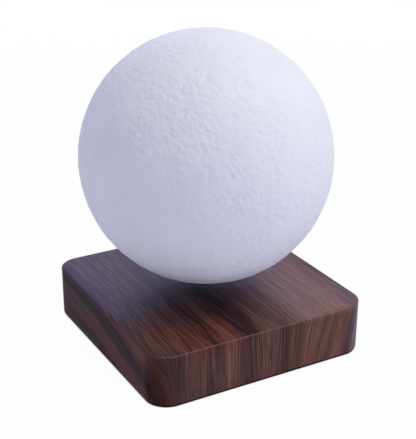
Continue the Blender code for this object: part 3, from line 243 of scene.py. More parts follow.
# What the inner pieces are made of: material, its two colours, size of its grain in millimetres,
# roughness from and to, height of its grain in millimetres, the values above, and how the names of
# its pieces start
FINISHES = (
    # Deep black with a dull, slightly pebbled sheen
    ("moulded_black_abs", ("17171A", "202024"), 0.6, (0.5, 0.62), 0.02, ABS,
     ("bottom_cover", "coil_bobbin")),
    # Cool white, smoother and a little glossier
    ("moulded_white_abs", ("DADAD6", "E4E4E0"), 0.8, (0.42, 0.52), 0.02, ABS,
     ("module_frame", "magnet_tray")),
    # Nearly no shine, with a fine tooth
    ("nitrile_rubber", ("121214", "1D1D1F"), 0.5, (0.78, 0.92), 0.04, {"ior": 1.52},
     ("rubber_foot",)),
    # Pale metal with a soft, slightly blotched gleam
    ("zinc_plated_steel", ("B9BBBE", "A4A7AD"), 0.7, (0.28, 0.42), 0.01, METAL,
     ("cover_screw", "board_screw", "tray_screw", "led_board_screw")),
    # Dark green under clear resin, with the weave as a faint mottle
    ("green_glass_laminate", ("0D3A1F", "14502B"), 2.2, (0.3, 0.45), 0.02, EPOXY,
     ("control_board",)),
    # White solder mask, bright and even
    ("white_coated_laminate", ("DEDFDD", "E9E9E7"), 2.2, (0.3, 0.42), 0.01, EPOXY, ("led_board",)),
    # Charcoal grey, dry and stony
    ("sintered_ferrite", ("2B2B2E", "3A3A3D"), 0.4, (0.55, 0.7), 0.03, {"ior": 1.8},
     ("ring_magnet", "choke")),
    # Grey metal with turning marks round it
    ("turned_soft_iron", ("8E8F92", "77797C"), 0.3, (0.35, 0.5), 0.01, TURNED, ("coil_core",)),
    # Red metal under clear enamel. The wire is 0.2 mm, and its turns are drawn at 0.45 mm to show.
    ("enamelled_copper_wire", ("B5603A", "8E4325"), 0.45, (0.22, 0.36), 0.08, WOUND,
     ("coil_winding", "transmitter_coil", "receiver_coil")),
    # Yellow metal, bright, with fine lines along it
    ("turned_brass", ("C9A55C", "B08B45"), 0.4, (0.2, 0.34), 0.01, DRAWN, ("dc_jack_pin",)),
    # Black with a satin face
    ("black_epoxy_resin", ("141416", "1E1E20"), 0.5, (0.4, 0.55), 0.02, EPOXY,
     ("hall_sensor", "driver_chip", "dc_jack")),
    # Light metal with drawing lines
    ("drawn_aluminium", ("C3C5C8", "AEB1B5"), 0.5, (0.25, 0.4), 0.01, DRAWN,
     ("heat_sink", "input_capacitor", "smoothing_capacitor")),
    # Brick red, with the soft gloss of a dipped coat
    ("dipped_epoxy_case", ("7A1F14", "94301D"), 1.2, (0.3, 0.42), 0.02, EPOXY, ("film_capacitor",)),
    # Warm mirror, only just clouded
    ("bright_nickel_plate", ("CDC9C2", "BDB9B2"), 1.5, (0.12, 0.22), 0.005, METAL,
     ("floating_magnet",)),
    # Yellow and wet-looking
    ("phosphor_silicone", ("EBCB4E", "F2DA7B"), 0.4, (0.2, 0.3), 0.01, {"ior": 1.41}, ("led_",)),
)


def linear(hex_colour):
    """Turn an sRGB hex colour into linear red, green, blue and a full alpha."""
    channels = [int(hex_colour[start:start + 2], 16) / 255 for start in (0, 2, 4)]
    return tuple(value / 12.92 if value <= 0.04045 else ((value + 0.055) / 1.055) ** 2.4
                 for value in channels) + (1.0,)


def colour_property(name, description, hex_colour):
    """A colour that a user can change, given by its sRGB hex value."""
    return bpy.props.FloatVectorProperty(name=name, description=description, subtype="COLOR",
                                         size=4, min=0, max=1, default=linear(hex_colour))


def number_property(name, description, default, unit="LENGTH"):
    """A number that a user can change: a length in metres, where no other unit is given."""
    lowest = -math.pi if unit == "ROTATION" else 0
    return bpy.props.FloatProperty(name=name, description=description, default=default,
                                   min=lowest, precision=5, unit=unit)


class MOONLAMP_PG_moon(bpy.types.PropertyGroup):
    """Sizes and colours of the printed moon."""

    fineness: bpy.props.IntProperty(name="Fineness", description="Subdivisions of the ball",
                                    default=8, min=4, max=9)
    wall: number_property("Wall", "Thickness of the printed wall", 0.0018)
    neck_height: number_property("Neck height", "Height of the opening's neck", 0.005)
    plug_floor: number_property("Plug's floor", "Thickness of the plug's floor", 0.002)
    rim_wall: number_property("Plug's rim", "Thickness of the plug's rim", 0.0016)
    boss_radius: number_property("Boss", "Radius of the plug's screw bosses", 0.0023)
    boss_bore: number_property("Boss's bore", "Radius of the hole in each boss", 0.0012)
    highland_relief: number_property("Highland relief", "Height of the rough highland", 0.00042)
    grain_relief: number_property("Grain relief", "Height of the fine grain", 0.00024)
    largest_crater: number_property("Largest crater", "Radius of the largest crater", 0.0085)
    smallest_crater: number_property("Smallest crater", "Radius of the smallest crater", 0.001)
    craters: bpy.props.IntProperty(name="Craters", description="Number of craters",
                                   default=4500, min=0)
    print_colour: colour_property("Print", "Colour of the printed plastic", "E7E9F4")
    shade_colour: colour_property("Print, darker", "Colour of its thicker stretches", "DCDDEE")
    speck_colour: colour_property("Specks", "Colour of its two bright specks", "F4F5FC")


class MOONLAMP_PG_base(bpy.types.PropertyGroup):
    """Sizes and colours of the foiled base."""

    corner_radius: number_property("Corner radius", "Radius of the upright corners", 0.014)
    edge_radius: number_property("Edge radius", "Radius of the upper and lower edges", 0.0006)
    cover_seat: number_property("Cover's seat", "Height of that seat over the table", 0.004)
    cover_corner: number_property("Cover's corner", "Corner radius of its rebate", 0.0093)
    board_gap: number_property("Board's gap", "From the board to its pocket", 0.001)
    lead_gap: number_property("Lead gap", "From the module to its pocket", 0.0038)
    top_wall: number_property("Top wall", "Thickness of wood over the module", 0.003)
    inlet_radius: number_property("Inlet", "Radius of the power inlet", 0.005)
    inlet_flare: number_property("Inlet's flare", "Bevel of its mouth", 0.0006)
    stripe: number_property("Stripe", "Width of a grain stripe", 0.0012)
    band: number_property("Band", "Width of a broad band of the grain", 0.011)
    gloss: number_property("Gloss", "Specular level of the foil", 0.07, "NONE")
    dark_colour: colour_property("Dark grain", "Colour of the dark stripes", "16111C")
    brown_colour: colour_property("Brown grain", "Colour of the middle stripes", "442C2C")
    red_colour: colour_property("Red grain", "Colour of the reddish stripes", "674440")
    light_colour: colour_property("Light grain", "Colour of the thin light lines", "8E6B64")
    # Painted shade: redder and darker at the front left and on the left side
    warm_shade_tint: colour_property("Warm patch", "Tint of the redder patch at the front left", "FFDCC4")
    # Painted shadow: the moon's soft shade, as a dull tint on the foil under it
    moon_shadow_tint: colour_property("Dull patch", "Tint of the patch in the moon's shade", "D3E4EC")
    # A painted reflection: a cool sheen added over the foil's colour at the rear left and the right
    # front corner
    painted_cool_reflection: colour_property("Cool haze", "Colour that the lacquer adds at the rear", "24384C")


class MOONLAMP_PG_studio(bpy.types.PropertyGroup):
    """The camera, floor and lamps."""

    azimuth: number_property("Azimuth", "Camera's turn", math.radians(-29.4813), "ROTATION")
    elevation: number_property("Elevation", "Camera's rise", math.radians(23.1698), "ROTATION")
    roll: number_property("Roll", "Camera's roll", math.radians(0.3053), "ROTATION")
    distance: number_property("Distance", "From the aim point to the camera", 0.6355)
    aim_height: number_property("Aim height", "Height of the aim point", 0.07408)
    aim_shift: number_property("Aim shift", "Aim point's shift to the right", 0.001248)
    lens: number_property("Lens", "Focal length in millimetres", 86.12, "CAMERA")
    floor_radius: number_property("Floor radius", "Radius of the round floor", 4.0)
    ambient_colour: colour_property("Ambient", "Colour of the light from all round", "EBEBFF")
    ambient: number_property("Ambient", "Strength of that light", 0.575, "NONE")
    key: number_property("Key", "Power of the lamp to the upper right", 4.0, "POWER")
    rear: number_property("Rear", "Power of the lamp at the back", 1.4, "POWER")
    side: number_property("Side", "Power of the lamp to the rear left", 0.58, "POWER")
    front: number_property("Front", "Power of the low lamp in front", 1.23, "POWER")


def unit_direction(azimuth, elevation):
    """The unit direction at an azimuth from the front and an elevation, both in radians."""
    return Vector((math.sin(azimuth) * math.cos(elevation),
                   -math.cos(azimuth) * math.cos(elevation), math.sin(elevation)))


def add_node(tree, kind, inputs=(), stops=(), **settings):
    """Add a shader node: its settings, its sockets' values or links, and a ramp's stops.

    The inputs stand in the order of the sockets in use, or under their names. A node that is given
    as an input stands for its first output in use.
    """
    made = tree.nodes.new("ShaderNode" + kind)
    for name, value in settings.items():
        setattr(made, name, value)
    sockets = made.inputs if isinstance(inputs, dict) else [
        socket for socket in made.inputs if socket.enabled]
    for key, value in inputs.items() if isinstance(inputs, dict) else enumerate(inputs):
        if isinstance(value, bpy.types.Node):
            value = next(socket for socket in value.outputs if socket.enabled)
        if isinstance(value, bpy.types.NodeSocket):
            tree.links.new(value, sockets[key])
        else:
            sockets[key].default_value = value
    for index, (place, colour) in enumerate(stops):
        ends = made.color_ramp.elements
        stop = ends[index] if index < 2 else ends.new(place)
        stop.position = place
        stop.color = colour
    return made


def new_material(name, roughness, ior=1.5, metallic=0.0):
    """A material with a Principled BSDF: returned with its node tree and that shader."""
    material = bpy.data.materials.new(name)
    material.use_nodes = True
    shader = material.node_tree.nodes["Principled BSDF"]
    shader.inputs["Roughness"].default_value = roughness
    shader.inputs["IOR"].default_value = ior
    shader.inputs["Metallic"].default_value = metallic
    return material, material.node_tree, shader


def paint(tree, shader, **inputs):
    """Link nodes to the shader's sockets: Base_Color stands for Base Color."""
    for name, node in inputs.items():
        output = next(socket for socket in node.outputs if socket.enabled)
        tree.links.new(output, shader.inputs[name.replace("_", " ")])


def wandering_finish(name, colours, grain, roughness, relief, stretch=(1, 1, 1), **shader_values):
    """A finish whose colour, gloss and height wander between two values over `grain` metres."""
    material, tree, shader = new_material(name, roughness[0], **shader_values)
    place = add_node(tree, "TexCoord").outputs["Object"]
    spread = add_node(tree, "Mapping", {
        "Vector": place, "Scale": tuple(share / grain for share in stretch)})
    grains = add_node(tree, "TexNoise", {"Vector": spread, "Scale": 1.0, "Detail": 4.0,
                                         "Roughness": 0.6})
    tint = add_node(tree, "Mix", (grains, linear(colours[0]), linear(colours[1])), data_type="RGBA")
    gloss = add_node(tree, "MapRange", (grains, 0.0, 1.0, *roughness))
    bump = add_node(tree, "Bump", {"Height": grains, "Strength": 1.0, "Distance": relief})
    paint(tree, shader, Base_Color=tint, Roughness=gloss, Normal=bump)
    return material


def printed_pla(look):
    """PLA, printed in thin layers: matte, a little translucent, so its shades are soft.

    The layers are 0.1 mm and don't show. The grain is drawn at 1.4 mm, to show at all.
    """
    material, tree, shader = new_material("printed_pla", 0.62, ior=1.46)
    shader.inputs["Subsurface Weight"].default_value = 0.2
    shader.inputs["Subsurface Scale"].default_value = 1.5 * MM
    shader.inputs["Subsurface Radius"].default_value = (1.0, 0.9, 1.0)
    place_on_moon = add_node(tree, "TexCoord").outputs["Object"]
    clouds = add_node(tree, "TexNoise", {
        "Vector": place_on_moon, "Scale": 1 / (22 * MM), "Detail": 3.0})
    grains = add_node(tree, "TexNoise", {
        "Vector": place_on_moon, "Scale": 1 / (1.4 * MM), "Detail": 3.0, "Roughness": 0.65})
    tint = add_node(tree, "Mix", (clouds, look.print_colour, look.shade_colour), data_type="RGBA")
    for place, radius, strength in BRIGHT_SPECKS:
        speck = Vector((0, 0, MOON_CENTRE)) + MOON_RADIUS * Vector(place)
        away = add_node(tree, "VectorMath", (place_on_moon, speck), operation="DISTANCE")
        end, full = (part * radius * MM for part in SPECK_SHARES)
        share = add_node(tree, "MapRange", (away, end, full, 0.0, strength))
        tint = add_node(tree, "Mix", (share, tint, look.speck_colour), data_type="RGBA")
    bump = add_node(tree, "Bump", {"Height": grains, "Strength": 0.8, "Distance": 0.1 * MM})
    paint(tree, shader, Base_Color=tint, Normal=bump)
    return material


def beyond_core(tree, place, corner_radius):
    """The nearest point, in plan, of the square between the block's corner centres, and how far
    each place lies beyond it."""
    core = BLOCK_HALF - corner_radius
    plan = add_node(tree, "VectorMath", (place, (1, 1, 0)), operation="MULTIPLY")
    low = add_node(tree, "VectorMath", (plan, (core, core, 0)), operation="MINIMUM")
    inner = add_node(tree, "VectorMath", (low, (-core, -core, 0)), operation="MAXIMUM")
    return inner, add_node(tree, "VectorMath", (plan, inner), operation="SUBTRACT")


def unfolded_place(tree, corner_radius):
    """Where each point of the block lay on the flat foil, before it was folded over the edges,
    and its depth below the block's top."""
    place = add_node(tree, "TexCoord").outputs["Object"]
    inner, outward = beyond_core(tree, place, corner_radius)
    height = add_node(tree, "SeparateXYZ", (place,)).outputs["Z"]
    depth = add_node(tree, "Math", (BLOCK_HIGH.z, height), operation="SUBTRACT")
    reach = add_node(tree, "Math", (depth, 1 / corner_radius, 1.0), operation="MULTIPLY_ADD")
    spread = add_node(tree, "VectorMath", (outward, reach), operation="SCALE")
    foil = add_node(tree, "VectorMath", (spread, inner), operation="ADD")
    return foil, depth


def bent_grain(tree, foil):
    """The foil's places with its grain bent: a dip along the left edge, a lean at the front right,
    and a wave of its own everywhere."""
    flat = add_node(tree, "SeparateXYZ", (foil,)).outputs
    dip = add_node(tree, "Math", (
        add_node(tree, "MapRange", (flat["Y"], *DIP_ALONG, 0.0, GRAIN_DIP),
                 interpolation_type="SMOOTHSTEP"),
        add_node(tree, "MapRange", (flat["X"], *DIP_ACROSS))), operation="MULTIPLY")
    fall = add_node(tree, "MapRange", (flat["Y"], -BLOCK_HALF, -2 * BLOCK_HALF, 0.0, BLOCK_HALF))
    leaning = add_node(tree, "MapRange", (flat["X"], *LEAN_ACROSS, 0.0, GRAIN_LEAN))
    lean = add_node(tree, "Math", (fall, leaning), operation="MULTIPLY")
    shift = add_node(tree, "Math", (dip, lean), operation="ADD")
    for across, along, layer, height in GRAIN_WAVES:
        spread = add_node(tree, "Mapping", {
            "Vector": foil, "Location": (0, 0, layer),
            "Scale": (1 / (across * MM), 1 / (along * MM), 1)})
        wave = add_node(tree, "TexNoise", {"Vector": spread, "Scale": 1.0, "Detail": 2.0})
        centred = add_node(tree, "MapRange", (wave, 0.0, 1.0, -height / 2 * MM, height / 2 * MM))
        shift = add_node(tree, "Math", (shift, centred), operation="ADD")
    push = add_node(tree, "CombineXYZ", (shift,))
    return add_node(tree, "VectorMath", (foil, push), operation="ADD"), flat


def dark_streaks(tree, flat, wander):
    """Share of dark grain in the thin streaks that cross the stripes of the top at a slant."""
    share = 0.0
    for place, slant, width, length, strength in DARK_STREAKS:
        back = add_node(tree, "Math", (flat["Y"], BLOCK_HALF), operation="ADD")
        middle = add_node(tree, "Math", (back, slant, place * MM), operation="MULTIPLY_ADD")
        middle = add_node(tree, "Math", (wander, STREAK_WANDER, middle), operation="MULTIPLY_ADD")
        away = add_node(tree, "Math", (flat["X"], middle), operation="SUBTRACT")
        near = add_node(tree, "MapRange", (
            add_node(tree, "Math", (away,), operation="ABSOLUTE"), width * MM,
            STREAK_CORE * width * MM, 0.0, strength), interpolation_type="SMOOTHSTEP")
        until = add_node(tree, "MapRange", (back, length * MM, STREAK_BODY * length * MM))
        after = add_node(tree, "MapRange", (back, 0.0, MM))
        streak = add_node(tree, "Math", (near, until), operation="MULTIPLY")
        streak = add_node(tree, "Math", (streak, after), operation="MULTIPLY")
        share = add_node(tree, "Math", (share, streak), operation="MAXIMUM")
    return share


def patch_share(tree, foil, place, reach):
    """How far each point lies in a soft oval patch of the foil, from 0 to 1."""
    away = add_node(tree, "VectorMath", (foil, place), operation="SUBTRACT")
    shares = add_node(tree, "VectorMath", (away, reach), operation="DIVIDE")
    away = add_node(tree, "VectorMath", (shares,), operation="LENGTH")
    return add_node(tree, "MapRange", (away, *PATCH_SHARES), interpolation_type="SMOOTHSTEP")


def foil_patterns(tree, grain, look):
    """The noises of the grain by name, each drawn out along it."""
    patterns = {}
    for name, across, along, layer, detail in (
            ("broad", look.band, 160 * MM, 5.0, 2.0),
            ("stripes", look.stripe, 90 * MM, 0.0, 3.0),
            ("threads", 0.7 * MM, 35 * MM, 9.0, 2.0),
            ("lines", 0.9 * MM, 60 * MM, 14.0, 1.0),
            ("pores", 0.5 * MM, 6 * MM, 21.0, 1.0)):
        spread = add_node(tree, "Mapping", {"Vector": grain, "Location": (0, 0, layer),
                                            "Scale": (1 / across, 1 / along, 1)})
        patterns[name] = add_node(tree, "TexNoise", {"Vector": spread, "Scale": 1.0,
                                                     "Detail": detail, "Roughness": 0.6})
    return patterns


def foil_steps(tree, flat):
    """The soft steps over the foil by name."""
    steps = {}
    for name, along, start, end, low, high in FOIL_STEPS:
        place, unit = (steps[along], 1) if along in steps else (flat[along], MM)
        step = add_node(tree, "MapRange", (place, start * unit, end * unit, low, high))
        if name in steps:
            step = add_node(tree, "Math", (steps[name], step), operation="MULTIPLY")
        steps[name] = step
    return steps


def foil_tone(tree, grain, depth, patterns, steps):
    """How light the grain is at each place, from its bands down to its threads."""
    across = add_node(tree, "SeparateXYZ", (grain,)).outputs["X"]
    first, last = BAND_TONES[0][0], BAND_TONES[-1][0]
    place = add_node(tree, "MapRange", (across, first * MM, last * MM))
    bands = add_node(tree, "ValToRGB", (place,), stops=[
        ((spot - first) / (last - first), (light, light, light, 1)) for spot, light in BAND_TONES])
    bands = add_node(tree, "Math", (bands, 0.5), operation="SUBTRACT")
    # Painted shade darkens the left front corner, and painted sheen lightens the top towards the
    # right
    tone = add_node(tree, "Math", (steps["left_corner"], CORNER_PAINTED_SHADE, steps["tone"]),
                    operation="MULTIPLY_ADD")
    tone = add_node(tree, "Math", (tone, steps["lift"]), operation="ADD")
    tone = add_node(tree, "Math", (bands, steps["bands"], tone), operation="MULTIPLY_ADD")
    tone = add_node(tree, "Math", (patterns["broad"], BROAD_TONE, tone), operation="MULTIPLY_ADD")
    over_edge = add_node(tree, "MapRange", (depth, *SIDE_DEPTHS))
    crisp = add_node(tree, "Mix", (over_edge, steps["crisp_top"], steps["crisp_side"]))
    crisp = add_node(tree, "Math", (crisp, steps["crisp"]), operation="MULTIPLY")
    for name, share in FINE_TONES:
        fine = add_node(tree, "Math", (patterns[name], share, -share / 2), operation="MULTIPLY_ADD")
        tone = add_node(tree, "Math", (fine, crisp, tone), operation="MULTIPLY_ADD")
    return tone


def foil_tints(tree, foil, flat, patterns, steps, look):
    """What lies over the grain: the share of each tint, the tint, and how it goes on. The lines,
    pores and streaks are grain; the rest are painted shade, a painted shadow and a painted
    reflection.
    """
    lines = add_node(tree, "MapRange", (patterns["lines"], *LINE_NOISE))
    lines = add_node(tree, "Math", (lines, steps["lines"]), operation="MULTIPLY")
    pores = add_node(tree, "MapRange", (patterns["pores"], *PORE_NOISE, 0.0, PORE_COVER))
    streaks = dark_streaks(tree, flat, patterns["broad"])
    # Painted shade, redder and darker, at the front left and on the left side
    painted_warm_shade = patch_share(tree, foil, *WARM_SHADE_PATCH)
    painted_warm_shade = add_node(tree, "Math", (steps["on_left"], SIDE_SHADE_WARMTH, painted_warm_shade),
                      operation="MULTIPLY_ADD")
    # Painted reflection: cool sheen at the rear left of the top and at the right front corner
    haze = add_node(tree, "Math", (steps["haze"], steps["right_corner"]), operation="ADD")
    # Painted shadow of the moon on the foil beneath it
    painted_moon_shadow = patch_share(tree, foil, *MOON_SHADOW_PATCH)
    return ((lines, look.light_colour, "MIX"), (pores, look.dark_colour, "MIX"),
            (streaks, look.dark_colour, "MIX"), (painted_warm_shade, look.warm_shade_tint, "MULTIPLY"),
            (haze, look.painted_cool_reflection, "ADD"), (painted_moon_shadow, look.moon_shadow_tint, "MULTIPLY"))


def walnut_foil(look):
    """Walnut-grain PVC foil: satin, with a soft veil at a low angle, and less rough where it is
    rubbed along the upper edge. A thin light line there, on every side but the left, is a painted
    highlight.

    The grain runs along Y on top and folds over the edges: upright on the front and rear, level on
    the left and right, and bent at a corner. Its threads and pores are printed finer, and are drawn
    at 0.7 mm and 0.5 mm to show.
    """
    material, tree, shader = new_material("walnut_foil", 0.3, ior=1.5)
    foil, depth = unfolded_place(tree, look.corner_radius)
    grain, flat = bent_grain(tree, foil)
    patterns = foil_patterns(tree, grain, look)
    steps = foil_steps(tree, flat)
    tone = foil_tone(tree, grain, depth, patterns, steps)
    colour = add_node(tree, "ValToRGB", (tone,), stops=(
        (0.28, look.dark_colour), (0.44, look.brown_colour), (0.58, look.red_colour),
        (0.8, look.light_colour)))
    edge = add_node(tree, "Math", (
        add_node(tree, "MapRange", (depth, 0.02 * look.edge_radius, 0.1 * look.edge_radius)),
        add_node(tree, "MapRange", (depth, look.edge_radius, 0.7 * look.edge_radius))),
        operation="MULTIPLY")
    # Painted highlight along the upper edge, on every side but the left
    painted_edge_line = add_node(tree, "Math", (edge, steps["painted_highlight"]), operation="MULTIPLY")
    tints = foil_tints(tree, foil, flat, patterns, steps, look)
    for share, tint, way in (*tints, (painted_edge_line, look.light_colour, "MIX")):
        colour = add_node(tree, "Mix", (share, colour, tint), data_type="RGBA", blend_type=way)
    shine = add_node(tree, "MapRange", (steps["on_left"], 0.0, 1.0, look.gloss,
                                        SIDE_SHINE * look.gloss))
    satin = add_node(tree, "MapRange", (patterns["stripes"], *STRIPE_NOISE, *FOIL_ROUGHNESS))
    polished = add_node(tree, "Math", (edge, RUBBED, satin), operation="MULTIPLY_ADD")
    bump = add_node(tree, "Bump", {"Height": patterns["threads"], "Strength": 0.5,
                                   "Distance": 0.04 * MM})
    paint(tree, shader, Base_Color=colour, Roughness=polished, Specular_IOR_Level=shine,
          Normal=bump)
    return material


def add_piece(name, bm, material):
    """Turn a bmesh into a piece of the scene."""
    bmesh.ops.recalc_face_normals(bm, faces=bm.faces)
    mesh = bpy.data.meshes.new(name)
    bm.to_mesh(mesh)
    bm.free()
    if material:
        mesh.materials.append(material)
    piece = bpy.data.objects.new(name, mesh)
    bpy.context.scene.collection.objects.link(piece)
    return piece


def settle(piece):
    """Apply a piece's modifiers, then shade its round faces smooth."""
    bpy.context.view_layer.update()
    graph = bpy.context.evaluated_depsgraph_get()
    piece.data = bpy.data.meshes.new_from_object(piece.evaluated_get(graph))
    piece.modifiers.clear()
    piece.data.name = piece.name
    piece.data.shade_smooth()
    piece.data.set_sharp_from_angle(angle=SHARP_ANGLE)
    even = piece.modifiers.new("Even normals", "WEIGHTED_NORMAL")
    even.keep_sharp = True


def turned(name, outline, steps, material, centre=(0, 0, 0)):
    """Revolve an outline of (radius, height) points about an upright axis."""
    bm = bmesh.new()
    points = [bm.verts.new((radius, 0, height)) for radius, height in outline]
    edges = [bm.edges.new(pair) for pair in zip(points, points[1:])]
    if outline[0][0] > 0:
        edges.append(bm.edges.new((points[-1], points[0])))
    bmesh.ops.spin(bm, geom=points + edges, cent=(0, 0, 0), axis=(0, 0, 1),
                   angle=2 * math.pi, steps=steps, use_duplicate=False)
    bmesh.ops.remove_doubles(bm, verts=bm.verts, dist=TOUCH)
    bmesh.ops.translate(bm, vec=centre, verts=bm.verts)
    return add_piece(name, bm, material)


def rounded_block(name, low, high, corner_radius, segments, material):
    """A block between two corners, with round upright corners."""
    bm = bmesh.new()
    bmesh.ops.create_cube(bm, size=1)
    bmesh.ops.scale(bm, vec=high - low, verts=bm.verts)
    bmesh.ops.translate(bm, vec=(high + low) / 2, verts=bm.verts)
    upright = [edge for edge in bm.edges
               if (edge.verts[0].co.xy - edge.verts[1].co.xy).length < FIT_GAP]
    bmesh.ops.bevel(bm, geom=upright, offset=corner_radius, segments=segments, profile=0.5,
                    affect="EDGES")
    return add_piece(name, bm, material)


def cut(piece, tools, operation="DIFFERENCE"):
    """Cut tools out of a piece, or join them to it, and remove them."""
    for tool in tools:
        boolean = piece.modifiers.new("Cut", "BOOLEAN")
        boolean.operation = operation
        boolean.solver = "EXACT"
        boolean.object = tool
    settle(piece)
    for tool in tools:
        bpy.data.objects.remove(tool, do_unlink=True)


def ring_beyond(bm, rim, radius, height):
    """Extrude a rim of edges to a ring of another radius and height."""
    grown = bmesh.ops.extrude_edge_only(bm, edges=rim)["geom"]
    points = {item for item in grown if isinstance(item, bmesh.types.BMVert)}
    for point in points:
        flat = point.co.xy.normalized() * radius
        point.co = (flat.x, flat.y, height)
    return [item for item in grown if isinstance(item, bmesh.types.BMEdge)
            and item.verts[0] in points and item.verts[1] in points]


def hollow_ball(look):
    """The moon's ball about the origin: opened below, with a neck and an inner wall."""
    opening = PLUG_RADIUS + FIT_GAP
    inner_radius = MOON_RADIUS - look.wall
    bm = bmesh.new()
    bmesh.ops.create_icosphere(bm, subdivisions=look.fineness, radius=MOON_RADIUS)
    edge_height = -math.sqrt(MOON_RADIUS ** 2 - opening ** 2)
    opened = bmesh.ops.bisect_plane(bm, geom=bm.verts[:] + bm.edges[:] + bm.faces[:],
                                    dist=0.1 * TOUCH, plane_co=(0, 0, edge_height),
                                    plane_no=(0, 0, 1), clear_inner=True)
    rim = [item for item in opened["geom_cut"] if isinstance(item, bmesh.types.BMEdge)]
    neck_top = edge_height + look.neck_height
    neck_outside = opening + look.wall
    rim = ring_beyond(bm, rim, opening, neck_top)
    rim = ring_beyond(bm, rim, neck_outside, neck_top)
    start = math.acos(neck_outside / inner_radius)
    for index in range(WALL_RINGS):
        angle = -start + (start + math.pi / 2) * index / WALL_RINGS
        rim = ring_beyond(bm, rim, inner_radius * math.cos(angle), inner_radius * math.sin(angle))
    bmesh.ops.contextual_create(bm, geom=rim)
    return bm


def crater_depths(directions, look):
    """Height that shallow craters, each with a soft rim, give the surface at unit directions."""
    chance = random.Random(CRATER_SEED)
    heights = np.zeros(len(directions))
    smallest = look.smallest_crater
    largest = look.largest_crater
    craters = [(Vector(place), radius * MM) for place, radius in MARKED_CRATERS]
    for _ in range(look.craters):
        place = Vector((chance.gauss(0, 1), chance.gauss(0, 1), chance.gauss(0, 1))).normalized()
        spread = chance.random()
        craters.append((place, smallest / math.sqrt(1 - spread * (1 - (smallest / largest) ** 2))))
    for place, radius in craters:
        depth = min(CRATER_DEPTH_SHARE * radius, CRATER_DEEPEST) * chance.uniform(0.5, 1)
        across = directions @ np.array(place)
        near = np.flatnonzero(across > math.cos(CRATER_REACH * radius / MOON_RADIUS))
        share = np.sqrt(np.maximum(2 - 2 * across[near], 0)) * MOON_RADIUS / radius
        bowl = -depth * np.clip(1 - share ** 2, 0, 1)
        rim = CRATER_RIM_SHARE * depth * np.exp(-((share - 1) / CRATER_RIM_WIDTH) ** 2)
        heights[near] += bowl + rim
    return heights


def highland_share(point):
    """How rough the moon is at a unit direction, from 0 on the plains to 1 on the highland.

    The highland is a wide belt that passes the front from the upper left to the lower right. The
    far side is all highland.
    """
    belt = max(0.0, 1 - (point.dot(BELT_POLE) / BELT_WIDTH) ** 2)
    share = EVEN_SHARE + BELT_SHARE * belt + FAR_SHARE * max(0.0, point.y - FAR_START)
    for place, reach, added in ROUGH_PLACES:
        share += added * max(0.0, 1 - (point - place).length / reach)
    patches = noise.fractal(point * PATCHES + PATCH_SHIFT, 0.9, 2.0, 3)
    lowest, highest = PATCH_LIMITS
    return share * max(lowest, min(highest, 1 + PATCHINESS * patches))


def moon_relief(directions, look):
    """Height of the printed relief over the ball at unit directions, in metres."""
    heights = crater_depths(directions, look)
    for index, direction in enumerate(directions):
        point = Vector(direction)
        share = highland_share(point)
        drawn_out = point - STREAK_STRETCH * point.dot(STREAK_WAY) * STREAK_WAY
        creases = 0.5 - noise.turbulence(drawn_out * CREASES, 2, True)
        grain = noise.fractal(drawn_out * GRAINS, 0.8, 2.0, 2)
        heights[index] += creases * look.highland_relief + grain * look.grain_relief
        heights[index] *= share
    return heights


